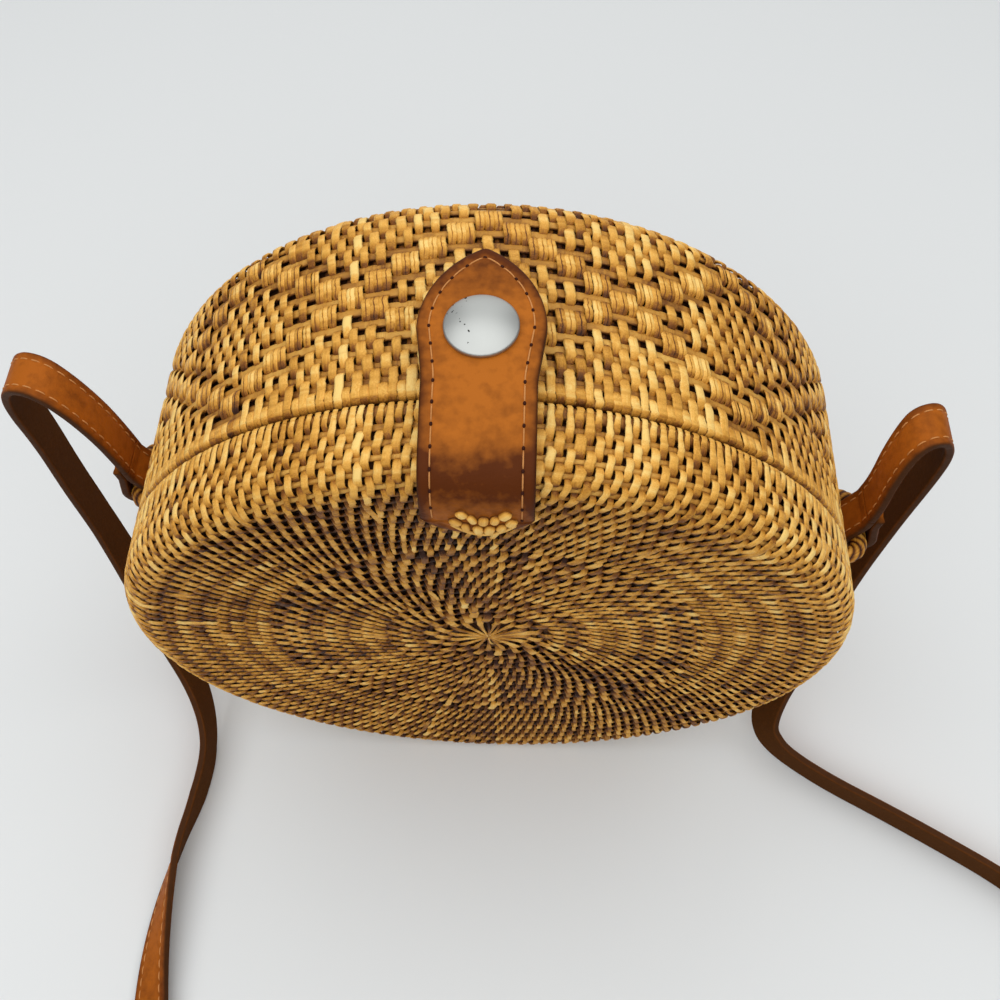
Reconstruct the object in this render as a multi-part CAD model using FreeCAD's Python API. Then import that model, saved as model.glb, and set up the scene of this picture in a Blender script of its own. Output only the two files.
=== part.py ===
import FreeCAD, Part
import math
import os

# Round woven cane bag in two halves, with a leather snap tab and a leather shoulder strap.
# Frame: origin on the floor under the middle of the bag's depth, X to the right of someone
# facing the front, Y towards the back, Z up. All lengths are millimetres, all angles degrees.

# Woven body
bag_radius = 95.0
bag_depth = 75.4
lid_depth = 18.6
seam_gap = 0.3
wall = 3.5
front_edge_radius = 7.5
back_edge_radius = 9.0
front_dish = 5.0
back_dish = 4.0
foot_flat_depth = 1.5
mouth_rod_width = 3.6
mouth_rod_round = 1.2
rod_relief = 1.3
rim_rod_pitch = 3.9
face_rod_pitch = 3.4
hub_reach = 3.0

# Cloth lining
lining_gap = 0.3
lining_thickness = 0.8
lining_setback = 5.0

# Flat cane loops that hinge the lid at the foot
hinge_loop_angle = 18.0
hinge_loop_width = 7.0
hinge_loop_thickness = 1.2
hinge_loop_margin = 0.8
hinge_loop_slack = 0.3
hinge_loop_round = 0.8

# Woven ears that carry the strap
ear_angle = 3.0
ear_tube = 4.5
ear_gap = 4.75
ear_hole_width = 14.0
ear_left_setback = 19.8
ear_right_setback = 8.8
ear_bend_radius = 4.0

# Leather tab
tab_width = 25.8
tab_waist = 22.5
tab_outer_thickness = 1.6
tab_inner_thickness = 1.4
tab_front_gap = 0.3
tab_top_gap = 4.0
tab_bend_radius = 20.0
tab_flat_reach = 9.5
tab_shoulder_reach = 0.5
tab_tip_reach = 20.8
tab_tip_radius = 2.5
tab_root_height = 8.5
tab_root_sag = 4.0

# Woven crescent that sews the tab to the lid
anchor_width = 17.0
anchor_height = 7.0
anchor_row_diameter = 4.2
anchor_top_gap = 0.6
anchor_sink_share = 0.3
anchor_inner_width_share = 0.58
anchor_inner_height_share = 0.5

# Press snap
snap_setback = 11.0
snap_fit = 0.1
snap_clearance = 0.3
cap_diameter = 15.0
cap_rim = 0.9
cap_height = 3.0
cap_shank_diameter = 4.0
socket_diameter = 11.5
socket_height = 2.6
stud_base_diameter = 11.0
stud_base_thickness = 0.9
stud_head_diameter = 5.0
stud_neck_diameter = 4.2
stud_neck_height = 0.8
stud_height = 3.4
stud_round_share = 0.33
post_head_diameter = 9.0
post_head_thickness = 0.9
post_shank_diameter = 3.0
post_shank_reach = 1.5

# Shoulder strap
strap_width = 12.0
strap_thickness = 2.4
strap_end_length = 12.0
strap_eye_length = 8.5
strap_end_lean = 6.0
strap_lead = 5.0
strap_clearance = 0.3
strap_slide = 0.6
strap_arc_share = 0.45
strap_arc_steps = 4

# The strap's way from the left ear to the right one, chosen by hand: up and over, down beside
# the bag, along the floor in front, and up again. The turns give the direction of its width.
strap_points = [
    (-104.4, 12.0, 128.0), (-108.5, 12.3, 140.0),
    (-114.5, 14.0, 145.5), (-122.5, 16.5, 143.5), (-127.5, 18.5, 132.0), (-128.5, 20.0, 110.0),
    (-128.5, 18.0, 88.0), (-127.0, 15.5, 66.0), (-122.5, 8.0, 44.0), (-113.0, -7.0, 25.0),
    (-102.0, -24.0, 12.5), (-97.0, -41.0, 7.5), (-98.5, -58.0, 6.3),
    (-103.0, -76.0, 6.3), (-104.5, -102.0, 5.7), (-102.5, -128.0, 3.4), (-94.0, -166.0, 5.7),
    (-62.0, -208.0, 6.3), (0.0, -237.0, 6.3), (70.0, -243.0, 6.3), (136.0, -226.0, 6.3),
    (186.0, -190.0, 6.3), (206.0, -148.0, 6.3), (201.0, -110.0, 6.3), (174.0, -81.5, 6.3),
    (136.0, -59.5, 6.3), (108.0, -45.0, 6.5), (92.0, -33.5, 9.0), (92.0, -24.0, 20.0),
    (100.5, -12.0, 40.0), (108.5, 2.0, 66.0), (115.0, 9.5, 94.0), (117.2, 10.8, 118.0),
    (116.8, 10.6, 131.0), (113.2, 9.6, 138.8), (108.0, 8.0, 139.6), (104.8, 6.3, 136.0),
    (103.0, 4.2, 127.0),
]
strap_width_shares = [
    (0.00, -1.00, 0.00),
    (0.00, -1.00, 0.00), (0.00, -1.00, 0.00), (0.00, -1.00, 0.00), (0.00, -1.00, 0.00),
    (0.00, -1.00, 0.00), (0.00, -1.00, 0.00), (0.00, -1.00, 0.05), (-0.15, -0.95, 0.20),
    (-0.35, -0.75, 0.50), (-0.28, -0.30, 0.90), (-0.05, -0.05, 1.00), (0.00, 0.00, 1.00),
    (0.25, 0.00, 0.97), (0.72, 0.00, 0.70), (0.97, 0.00, 0.26), (0.72, 0.00, 0.70),
    (0.05, 0.00, 1.00), (0.00, 0.00, 1.00), (0.00, 0.00, 1.00), (0.00, 0.00, 1.00),
    (0.00, 0.00, 1.00), (0.00, 0.00, 1.00), (0.00, 0.00, 1.00), (0.00, 0.00, 1.00),
    (0.00, 0.00, 1.00), (0.05, -0.05, 1.00), (0.40, -0.30, 0.85), (0.45, -0.75, 0.45),
    (0.25, -0.95, 0.20), (0.05, -1.00, 0.05), (0.00, -1.00, 0.00), (0.00, -1.00, 0.00),
    (0.00, -1.00, 0.00), (0.00, -1.00, 0.00), (0.00, -1.00, 0.00), (0.00, -1.00, 0.00),
    (0.00, -1.00, 0.00),
]
strap_left_fall_count = 11
strap_right_fall_count = 11

# Cuts run this far past what they cut
overrun = 2.0

# Places that follow from the sizes
half_depth = bag_depth / 2
axis_height = bag_radius - foot_flat_depth
front_mouth_y = -half_depth + lid_depth
back_mouth_y = front_mouth_y + seam_gap
seam_y = (front_mouth_y + back_mouth_y) / 2
snap_y = back_mouth_y + snap_setback
top_height = axis_height + bag_radius
tab_thickness = tab_inner_thickness + tab_outer_thickness
lining_inset = wall + lining_gap
liner_inset = lining_inset + lining_thickness
crease_y = -half_depth - tab_front_gap - tab_thickness
crease_height = top_height - front_edge_radius
tab_under = top_height + tab_top_gap
X_AXIS = FreeCAD.Vector(1, 0, 0)
Y_AXIS = FreeCAD.Vector(0, 1, 0)
Z_AXIS = FreeCAD.Vector(0, 0, 1)
CENTRE = FreeCAD.Vector(0, 0, axis_height)


def closed_face(edges):
    """Face inside a closed run of edges."""
    return Part.Face(Part.Wire(edges))


def line(a, b):
    """Straight edge from a to b."""
    return Part.LineSegment(a, b).toShape()


def arc(a, middle, b):
    """Circular edge from a through middle to b."""
    return Part.Arc(a, middle, b).toShape()


def box_between(low, high):
    """Box with the given lowest and highest corners."""
    size = high - low
    return Part.makeBox(size.x, size.y, size.z, low)


class Half:
    """One half of the bag: a dished face, a rounded edge and a rim, all about the Y axis."""

    def __init__(self, side, edge_radius, dish, depth):
        """side is -1 for the front and 1 for the back; depth runs from the crest to the mouth."""
        self.side = side
        self.edge_radius = edge_radius
        self.depth = depth
        reach = bag_radius - edge_radius
        self.dish_radius = (reach ** 2 + dish ** 2) / (2 * dish) - edge_radius
        self.dish_centre = dish - self.dish_radius
        self.spread = math.atan2(reach, edge_radius - self.dish_centre)
        self.face_length = self.dish_radius * self.spread
        self.edge_length = edge_radius * (math.pi / 2 + self.spread)
        self.length = self.face_length + self.edge_length + depth - edge_radius

    def at(self, radius, inward):
        """Point of the section at this radius and distance inward from the face's crest."""
        return FreeCAD.Vector(radius, self.side * (half_depth - inward), 0)

    def on_dish(self, inset, angle):
        """Point of the dished face, inset below the outer surface, at an angle from the axis."""
        radius = self.dish_radius + inset
        return self.at(radius * math.sin(angle), self.dish_centre + radius * math.cos(angle))

    def on_edge(self, inset, angle):
        """Point of the rounded edge, inset below the outer surface; angle 0 is at the rim."""
        radius = self.edge_radius - inset
        away = bag_radius - self.edge_radius + radius * math.cos(angle)
        return self.at(away, self.edge_radius + radius * math.sin(angle))

    def at_length(self, length, inset):
        """Point at a length along the outer section from the middle of the face, inset below it."""
        past_face = length - self.face_length
        past_edge = past_face - self.edge_length
        if past_face < 0:
            return self.on_dish(inset, length / self.dish_radius)
        if past_edge < 0:
            return self.on_edge(inset, past_face / self.edge_radius - math.pi / 2 - self.spread)
        return self.at(bag_radius - inset, self.edge_radius + past_edge)

    def rods(self):
        """Lengths along the section of the rings of the weave, the last of them at the mouth."""
        last = self.length - mouth_rod_width / 2
        bend = self.face_length
        on_face = round((bend - hub_reach) / face_rod_pitch)
        on_rim = round((last - bend) / rim_rod_pitch)
        face = [hub_reach + (bend - hub_reach) * i / on_face for i in range(on_face)]
        return face + [bend + (last - bend) * i / on_rim for i in range(on_rim + 1)]

    def ribbed_skin(self):
        """Edges of the woven outside: one rounded rib for each ring, as far as the mouth's rod."""
        rods = self.rods()
        valleys = [0] + [(a + b) / 2 for a, b in zip(rods, rods[1:])]
        valleys[-1] = self.length - mouth_rod_width
        return [arc(self.at_length(a, rod_relief), self.at_length(rod, 0), self.at_length(b, rod_relief))
                for a, rod, b in zip(valleys, rods, valleys[1:])]

    def skin(self, inset, setback):
        """Edges of one smooth skin, from the middle of the face to the rim's end short of the mouth."""
        edge_start = -math.pi / 2 - self.spread
        join = self.on_dish(inset, self.spread)
        rim_start = self.on_edge(inset, 0)
        rim_end = self.at(bag_radius - inset, self.depth - setback)
        return [
            arc(self.on_dish(inset, 0), self.on_dish(inset, self.spread / 2), join),
            arc(join, self.on_edge(inset, edge_start / 2), rim_start),
            line(rim_start, rim_end),
        ]

    def turned(self, outer, inner):
        """Solid between two skins of this half, turned about the bag's axis."""
        mouth = line(outer[-1].lastVertex().Point, inner[-1].lastVertex().Point)
        hub = line(inner[0].firstVertex().Point, outer[0].firstVertex().Point)
        face = closed_face(Part.__sortEdges__(outer + [mouth] + inner + [hub]))
        return face.revolve(FreeCAD.Vector(), Y_AXIS, 360).translated(CENTRE)

    def shell(self):
        """Woven wall with its rings as ribs, short of the mouth's rod."""
        return self.turned(self.ribbed_skin(), self.skin(wall, mouth_rod_width))

    def lining(self):
        """Cotton lining, a small gap inside the wall."""
        return self.turned(self.skin(lining_inset, lining_setback), self.skin(liner_inset, lining_setback))

    def mouth_rod(self):
        """Finishing rod round the mouth, with its two mouth corners rounded."""
        outer, inner = bag_radius, bag_radius - wall
        start, end = self.depth - mouth_rod_width, self.depth
        round_off = mouth_rod_round * (1 - math.sqrt(0.5))
        points = [
            self.at(outer, start), self.at(outer, end - mouth_rod_round),
            self.at(outer - mouth_rod_round, end), self.at(inner + mouth_rod_round, end),
            self.at(inner, end - mouth_rod_round), self.at(inner, start),
        ]
        outer_turn = self.at(outer - round_off, end - round_off)
        inner_turn = self.at(inner + round_off, end - round_off)
        face = closed_face([
            line(points[0], points[1]), arc(points[1], outer_turn, points[2]),
            line(points[2], points[3]), arc(points[3], inner_turn, points[4]),
            line(points[4], points[5]), line(points[5], points[0]),
        ])
        return face.revolve(FreeCAD.Vector(), Y_AXIS, 360).translated(CENTRE)


def below_floor():
    """Block under the floor, which cuts the flat that the bag stands on."""
    corner = FreeCAD.Vector(bag_radius + overrun, bag_depth, 0)
    return box_between(FreeCAD.Vector(-corner.x, -corner.y, -corner.x), corner)


def round_bar(radius, low, high, y):
    """Upright cylinder on the tab's middle line, between two heights."""
    return Part.makeCylinder(radius, high - low, FreeCAD.Vector(0, y, low), Z_AXIS)


def rounded_frame(half_width, low, high, corner):
    """Block across a hinge loop's width, with rounded corners in the plane of Y and Z, about the seam."""
    left, right = seam_y - half_width, seam_y + half_width
    plain = Part.makePolygon([
        FreeCAD.Vector(0, left, low), FreeCAD.Vector(0, right, low), FreeCAD.Vector(0, right, high),
        FreeCAD.Vector(0, left, high), FreeCAD.Vector(0, left, low),
    ])
    block = Part.Face(plain).extrude(X_AXIS * hinge_loop_width)
    upright = [e for e in block.Edges if abs(e.tangentAt(e.FirstParameter).x) > 0.5]
    return block.makeFillet(corner, upright).translated(X_AXIS * (-hinge_loop_width / 2))


def hinge_loop(turn):
    """Flat cane loop through both rims beside the foot, turned about the bag's axis."""
    hole = mouth_rod_width + hinge_loop_margin + seam_gap / 2
    outer_low = axis_height - bag_radius - hinge_loop_slack
    inner_high = axis_height - bag_radius + liner_inset + hinge_loop_slack
    thick = hinge_loop_thickness
    body = rounded_frame(hole + thick, outer_low - thick, inner_high + thick, hinge_loop_round + thick)
    loop = body.cut(rounded_frame(hole, outer_low, inner_high, hinge_loop_round))
    return loop.rotated(CENTRE, Y_AXIS, turn)


def hinge_slots(turn):
    """Two slots through the rims for one loop's legs."""
    hole = mouth_rod_width + hinge_loop_margin + seam_gap / 2
    half_width = hinge_loop_width / 2 + hinge_loop_slack
    near, far = hole - hinge_loop_slack, hole + hinge_loop_thickness + hinge_loop_slack
    low = axis_height - bag_radius - overrun
    high = axis_height - bag_radius + liner_inset + overrun
    front = box_between(FreeCAD.Vector(-half_width, seam_y - far, low),
                        FreeCAD.Vector(half_width, seam_y - near, high))
    back = box_between(FreeCAD.Vector(-half_width, seam_y + near, low),
                       FreeCAD.Vector(half_width, seam_y + far, high))
    return front.fuse(back).rotated(CENTRE, Y_AXIS, turn)


def ear_legs(side):
    """Depths of the middles of an ear's two legs."""
    setback = ear_left_setback if side < 0 else ear_right_setback
    near = back_mouth_y + setback + ear_tube / 2
    return near, near + ear_hole_width + ear_tube


def ear(side):
    """Woven arch beside the seam, its bar along Y and its feet on the rim."""
    near, far = ear_legs(side)
    bar = bag_radius + ear_gap + ear_tube / 2
    foot = bag_radius - wall
    bend = ear_bend_radius
    half = bend * (1 - math.sqrt(0.5))

    def at(y, radius):
        return FreeCAD.Vector(radius, y, 0)

    path = Part.Wire([
        line(at(near, foot), at(near, bar - bend)),
        arc(at(near, bar - bend), at(near + half, bar - half), at(near + bend, bar)),
        line(at(near + bend, bar), at(far - bend, bar)),
        arc(at(far - bend, bar), at(far - half, bar - half), at(far, bar - bend)),
        line(at(far, bar - bend), at(far, foot)),
    ])
    ring = Part.Wire(Part.makeCircle(ear_tube / 2, at(near, foot), X_AXIS))
    arch = path.makePipeShell([ring], True, False)
    drum = Part.makeCylinder(bag_radius, bag_depth, FreeCAD.Vector(0, -half_depth, 0), Y_AXIS)
    arch = arch.cut(drum)
    if side < 0:
        arch = arch.mirror(FreeCAD.Vector(), X_AXIS)
    return arch.rotated(FreeCAD.Vector(), Y_AXIS, -side * ear_angle).translated(CENTRE)


def tab_rise():
    """Slope of the tab between the lid's edge and its flat end, and the centres of its bends."""
    edge = FreeCAD.Vector(0, -half_depth + front_edge_radius, crease_height)
    flat_start = snap_y - tab_flat_reach
    crown = FreeCAD.Vector(0, flat_start, tab_under - tab_bend_radius)
    away = crown - edge
    reach = math.hypot(away.y, away.z)
    lift = (front_edge_radius + tab_front_gap - tab_bend_radius) / reach
    slope = math.acos(lift) - math.atan2(away.y, away.z)
    return edge, crown, slope


def tab_line(above):
    """Edges of the tab's section at a distance above its underside, from crease to tip."""
    edge, crown, slope = tab_rise()
    tip_y = snap_y + tab_tip_reach + overrun
    first = front_edge_radius + tab_front_gap + above
    second = tab_bend_radius + above

    def around(centre, radius, angle):
        return centre + FreeCAD.Vector(0, -radius * math.sin(angle), radius * math.cos(angle))

    middle = (math.pi / 2 + slope) / 2
    points = [around(edge, first, math.pi / 2), around(edge, first, slope),
              around(crown, second, slope), around(crown, second, 0)]
    end = FreeCAD.Vector(0, tip_y, points[3].z)
    return [
        arc(points[0], around(edge, first, middle), points[1]),
        line(points[1], points[2]),
        arc(points[2], around(crown, second, slope / 2), points[3]),
        line(points[3], end),
    ]


def tab_outline():
    """Upright prism of the tab's plan: straight waist, widening sides and a pointed round tip."""
    front = crease_y - overrun
    shoulder = snap_y + tab_shoulder_reach
    tip = snap_y + tab_tip_reach
    half, waist = tab_width / 2, tab_waist / 2
    rise = tip - tab_tip_radius - shoulder
    ogive = (half ** 2 + rise ** 2 - tab_tip_radius ** 2) / (2 * (half - tab_tip_radius))
    lean = math.atan2(rise, ogive - half)

    def side_at(angle, sign):
        return FreeCAD.Vector(sign * (half - ogive + ogive * math.cos(angle)),
                              shoulder + ogive * math.sin(angle), 0)

    right = [FreeCAD.Vector(waist, front, 0), FreeCAD.Vector(waist, seam_y, 0), side_at(0, 1)]
    left = [FreeCAD.Vector(-p.x, p.y, 0) for p in right]
    tip_point = FreeCAD.Vector(0, tip, 0)
    face = closed_face([
        line(left[0], right[0]), line(right[0], right[1]), line(right[1], right[2]),
        arc(right[2], side_at(lean / 2, 1), side_at(lean, 1)),
        arc(side_at(lean, 1), tip_point, side_at(lean, -1)),
        arc(side_at(lean, -1), side_at(lean / 2, -1), left[2]),
        line(left[2], left[1]), line(left[1], left[0]),
    ])
    return face.extrude(Z_AXIS * (tab_under + tab_thickness + overrun))


def tab_layer(low, high):
    """One leather layer of the tab between two distances above its underside."""
    under, over = tab_line(low), tab_line(high)
    start = line(over[0].firstVertex().Point, under[0].firstVertex().Point)
    end = line(under[-1].lastVertex().Point, over[-1].lastVertex().Point)
    face = closed_face(Part.__sortEdges__(under + [end] + over + [start]))
    band = face.extrude(X_AXIS * tab_width).translated(X_AXIS * (-tab_width / 2))
    hole = round_bar(cap_shank_diameter / 2 + snap_fit, top_height, tab_under + cap_height + tab_thickness,
                     snap_y)
    return band.common(tab_outline()).cut(hole)


def tab_root():
    """Fixed end of the tab on the lid's face, with a rounded lower end."""
    half = tab_waist / 2
    low = crease_height - tab_root_height
    shoulder = low + tab_root_sag
    points = [FreeCAD.Vector(x, crease_y, z) for x, z in
              ((-half, crease_height), (half, crease_height), (half, shoulder), (-half, shoulder))]
    bottom = FreeCAD.Vector(0, crease_y, low)
    face = closed_face([line(points[0], points[1]), line(points[1], points[2]),
                        arc(points[2], bottom, points[3]), line(points[3], points[0])])
    return face.extrude(Y_AXIS * tab_thickness)


def anchor_row(width, height):
    """One rounded row of the crescent, hanging in an arc below the crease."""
    radius = anchor_row_diameter / 2
    top = crease_height - anchor_top_gap
    y = crease_y - radius * (1 - anchor_sink_share)
    half = width / 2 - radius
    sag = height - radius
    left, right = FreeCAD.Vector(-half, y, top), FreeCAD.Vector(half, y, top)
    path = Part.Wire([arc(left, FreeCAD.Vector(0, y, top - sag), right)])
    tangent = path.Edges[0].tangentAt(path.Edges[0].FirstParameter)
    ring = Part.Wire(Part.makeCircle(radius, left, tangent))
    return path.makePipeShell([ring], True, False)


def tab_anchor():
    """Crescent of two woven rows, flat where it lies on the tab's root."""
    outer = anchor_row(anchor_width, anchor_height)
    inner = anchor_row(anchor_width * anchor_inner_width_share, anchor_height * anchor_inner_height_share)
    reach = anchor_width + anchor_row_diameter
    top = crease_height - anchor_top_gap
    front = box_between(FreeCAD.Vector(-reach, crease_y - reach, top - reach),
                        FreeCAD.Vector(reach, crease_y, top))
    return outer.fuse(inner).common(front).removeSplitter()


def snap_cap():
    """Domed cap with its shank through both leather layers."""
    base = tab_under + tab_thickness
    radius = cap_diameter / 2
    dome = (radius ** 2 + (cap_height - cap_rim) ** 2) / (2 * (cap_height - cap_rim))
    half = math.asin(radius / dome) / 2

    def at(away, above):
        return FreeCAD.Vector(away, snap_y, base + above)

    shoulder = at(dome * math.sin(half), cap_height - dome * (1 - math.cos(half)))
    shank = cap_shank_diameter / 2
    crown, rim, edge = at(0, cap_height), at(radius, cap_rim), at(radius, 0)
    neck, tail, middle = at(shank, 0), at(shank, -tab_thickness), at(0, -tab_thickness)
    face = closed_face([
        arc(crown, shoulder, rim), line(rim, edge), line(edge, neck),
        line(neck, tail), line(tail, middle), line(middle, crown),
    ])
    return face.revolve(FreeCAD.Vector(0, snap_y, 0), Z_AXIS, 360)


def snap_socket():
    """Ring under the tab that closes over the stud."""
    low = tab_under - socket_height
    cavity = top_height + stud_height + snap_clearance
    body = round_bar(socket_diameter / 2, low, tab_under, snap_y)
    return body.cut(round_bar(stud_head_diameter / 2 + snap_clearance, low - overrun, cavity, snap_y))


def snap_stud():
    """Stud on the back half's rim, with a rounded head over a narrower neck."""
    base = round_bar(stud_base_diameter / 2, top_height - stud_base_thickness,
                     top_height + stud_base_thickness, snap_y)
    drum = Part.makeCylinder(bag_radius, bag_depth, FreeCAD.Vector(0, -half_depth, axis_height), Y_AXIS)
    neck_top = top_height + stud_base_thickness + stud_neck_height
    neck = round_bar(stud_neck_diameter / 2, top_height + stud_base_thickness, neck_top, snap_y)
    head = round_bar(stud_head_diameter / 2, neck_top, top_height + stud_height, snap_y)
    head_height = stud_height - stud_base_thickness - stud_neck_height
    head = head.makeFillet(head_height * stud_round_share, head.Edges)
    bore = round_bar(post_shank_diameter / 2 + snap_fit, top_height - overrun,
                     top_height + post_shank_reach + snap_fit, snap_y)
    return base.cut(drum).fuse([neck, head]).cut(bore)


def snap_post():
    """Rivet from inside the bag that holds the stud: its head lies on the lining."""
    seat = top_height - liner_inset
    head = round_bar(post_head_diameter / 2, seat - post_head_thickness, seat, snap_y)
    shank = round_bar(post_shank_diameter / 2, seat - post_head_thickness, top_height + post_shank_reach,
                      snap_y)
    liner = Part.makeCylinder(bag_radius - liner_inset, bag_depth,
                              FreeCAD.Vector(0, -half_depth, axis_height), Y_AXIS)
    return head.common(liner).fuse(shank)


def strap_frame(side):
    """Middle of the ear's bar at the strap, and the strap's directions along and across there."""
    bar = bag_radius + ear_gap + ear_tube / 2
    turn, lean = math.radians(ear_angle), math.radians(strap_end_lean)
    y = sum(ear_legs(side)) / 2 + side * strap_slide
    middle = FreeCAD.Vector(side * bar * math.cos(turn), y, axis_height + bar * math.sin(turn))
    along = FreeCAD.Vector(side * math.sin(lean), 0, math.cos(lean))
    across = FreeCAD.Vector(-side * math.cos(lean), 0, math.sin(lean))
    return middle, along, across


def strap_start(side):
    """Middle of the strap where it leaves its sewn eye."""
    middle, along, across = strap_frame(side)
    return middle + along * strap_end_length + across * (strap_thickness / 2)


def strap_end(side):
    """Sewn eye round the ear's bar, with the strap's tail folded back along it."""
    middle, along, across = strap_frame(side)
    inner = ear_tube / 2 + strap_clearance
    outer = inner + strap_thickness
    thick = strap_thickness

    def at(u, v):
        return middle + along * u + across * v

    def eye(radius, tip, half_thick):
        turn = math.acos(radius / math.hypot(tip, half_thick)) + math.atan2(half_thick, tip)
        return at(radius * math.cos(turn), radius * math.sin(turn)), \
            at(radius * math.cos(turn), -radius * math.sin(turn))

    top, bottom = eye(outer, strap_eye_length, thick)
    neck = [at(strap_eye_length, -thick), at(strap_end_length, -thick),
            at(strap_end_length, thick), at(strap_eye_length, thick)]
    sides = [line(a, b) for a, b in zip([bottom] + neck, neck + [top])]
    face = closed_face([arc(top, at(-outer, 0), bottom)] + sides)
    top, bottom = eye(inner, strap_eye_length, 0)
    hole = closed_face([arc(top, at(-inner, 0), bottom), line(bottom, at(strap_eye_length, 0)),
                        line(at(strap_eye_length, 0), top)])
    solid = face.extrude(Y_AXIS * strap_width).cut(hole.extrude(Y_AXIS * strap_width))
    return solid.translated(Y_AXIS * (-strap_width / 2))


def strap_route():
    """Corner points and width directions of the whole strap, from one sewn eye to the other."""
    points, widths = [], []
    flat = FreeCAD.Vector(0, -1, 0)
    for side in (-1, 1):
        start, along = strap_start(side), strap_frame(side)[1]
        points.append([start, start + along * strap_lead][::-side])
        widths.append([flat, flat])
    middle = [FreeCAD.Vector(*p) for p in strap_points]
    turns = [FreeCAD.Vector(*w) for w in strap_width_shares]
    return points[0] + middle + points[1], widths[0] + turns + widths[1]


def strap_width_at(place, tangent, widths):
    """Unit width direction at a place counted in route points, square to the tangent."""
    before = min(int(place), len(widths) - 2)
    share = place - before
    mixed = widths[before] * (1 - share) + widths[before + 1] * share
    return (mixed - tangent * mixed.dot(tangent)).normalize()


def strap_stations():
    """Stations along the strap's straight runs and tangent arcs, in one list for each route point.

    A station is its middle, its tangent and its width direction. The bend radii come with them.
    """
    points, widths = strap_route()
    runs = [b - a for a, b in zip(points, points[1:])]
    ways = [FreeCAD.Vector(run).normalize() for run in runs]
    stations, radii = [[(points[0], ways[0], widths[0])]], []
    for i in range(1, len(points) - 1):
        came, goes = ways[i - 1], ways[i]
        turn = came.getAngle(goes)
        trim = strap_arc_share * min(runs[i - 1].Length, runs[i].Length)
        radius = trim / math.tan(turn / 2)
        start = points[i] - came * trim
        centre = points[i] + (goes - came).normalize() * (radius / math.cos(turn / 2))
        bend = []
        for step in range(strap_arc_steps + 1):
            share = step / strap_arc_steps
            spin = FreeCAD.Rotation(came.cross(goes), math.degrees(turn * share))
            side = runs[i - 1] if share < 0.5 else runs[i]
            place = i + (2 * share - 1) * trim / side.Length
            tangent = spin.multVec(came)
            middle = centre + spin.multVec(start - centre)
            bend.append((middle, tangent, strap_width_at(place, tangent, widths)))
        stations.append(bend)
        radii.append(radius)
    stations.append([(points[-1], ways[-1], widths[-1])])
    return stations, radii


def strap_section(middle, tangent, across):
    """Rectangle of the strap at one station."""
    half_wide = across * (strap_width / 2)
    half_thick = tangent.cross(across) * (strap_thickness / 2)
    corners = [middle + half_wide + half_thick, middle - half_wide + half_thick,
               middle - half_wide - half_thick, middle + half_wide - half_thick]
    return Part.makePolygon(corners + corners[:1])


def strap_band(stations):
    """Flat leather band through a run of stations."""
    return Part.makeLoft([strap_section(*station) for station in stations], True, True)


def strap_bands():
    """The strap's free stretches: down on the left, along the floor, and up on the right."""
    stations, radii = strap_stations()
    print("strap bend radii:", ", ".join(f"{radius:.1f}" for radius in radii))
    left = 1 + strap_left_fall_count
    right = len(stations) - 2 - strap_right_fall_count
    spans = {
        "strap_left_fall": stations[:left + 1],
        "strap_floor_run": [stations[left][-1:]] + stations[left + 1:right + 1],
        "strap_right_fall": [stations[right][-1:]] + stations[right + 1:],
    }
    bands = {}
    for name, span in spans.items():
        run = [station for bend in span for station in bend]
        length = sum((b[0] - a[0]).Length for a, b in zip(run, run[1:]))
        bands[name] = strap_band(run)
        expected = length * strap_width * strap_thickness
        print(f"{name}: length {length:.1f}, volume {bands[name].Volume:.0f}, expected {expected:.0f}")
    return bands


def body_nodes():
    """The two woven halves with their mouth rods and linings."""
    front = Half(-1, front_edge_radius, front_dish, lid_depth)
    back = Half(1, back_edge_radius, back_dish, half_depth - back_mouth_y)
    slots = hinge_slots(hinge_loop_angle).fuse(hinge_slots(-hinge_loop_angle))
    shank = round_bar(post_shank_diameter / 2 + snap_fit, axis_height, top_height + overrun, snap_y)
    under = below_floor()
    return {
        "front_shell": front.shell().cut([slots, under]),
        "front_mouth_rod": front.mouth_rod().cut(under),
        "front_lining": front.lining().cut(slots),
        "back_shell": back.shell().cut([slots, under, shank]),
        "back_mouth_rod": back.mouth_rod().cut(under),
        "back_lining": back.lining().cut([slots, shank]),
    }


def nodes():
    """Every piece of the bag by its name."""
    pieces = body_nodes()
    pieces["hinge_loop_left"] = hinge_loop(hinge_loop_angle)
    pieces["hinge_loop_right"] = hinge_loop(-hinge_loop_angle)
    pieces["ear_left"] = ear(-1)
    pieces["ear_right"] = ear(1)
    pieces["tab_root"] = tab_root()
    pieces["tab_inner"] = tab_layer(0, tab_inner_thickness)
    pieces["tab_outer"] = tab_layer(tab_inner_thickness, tab_thickness)
    pieces["tab_anchor"] = tab_anchor()
    pieces["snap_cap"] = snap_cap()
    pieces["snap_socket"] = snap_socket()
    pieces["snap_stud"] = snap_stud()
    pieces["snap_post"] = snap_post()
    pieces["strap_left_end"] = strap_end(-1)
    pieces["strap_right_end"] = strap_end(1)
    pieces.update(strap_bands())
    return pieces


os.makedirs("parts", exist_ok=True)
for name, shape in nodes().items():
    shape.exportStep(f"parts/{name}.step")
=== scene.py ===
"""Looks of a round woven cane shoulder bag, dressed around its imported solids.

Sizes are millimetres and meshes are written in metres. X is to the right of someone who faces the
lid, Y goes to the back and Z is up, with the floor at zero.
"""
import logging
from dataclasses import dataclass, field
from enum import Enum
from typing import Callable, Sequence, Union

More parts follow.
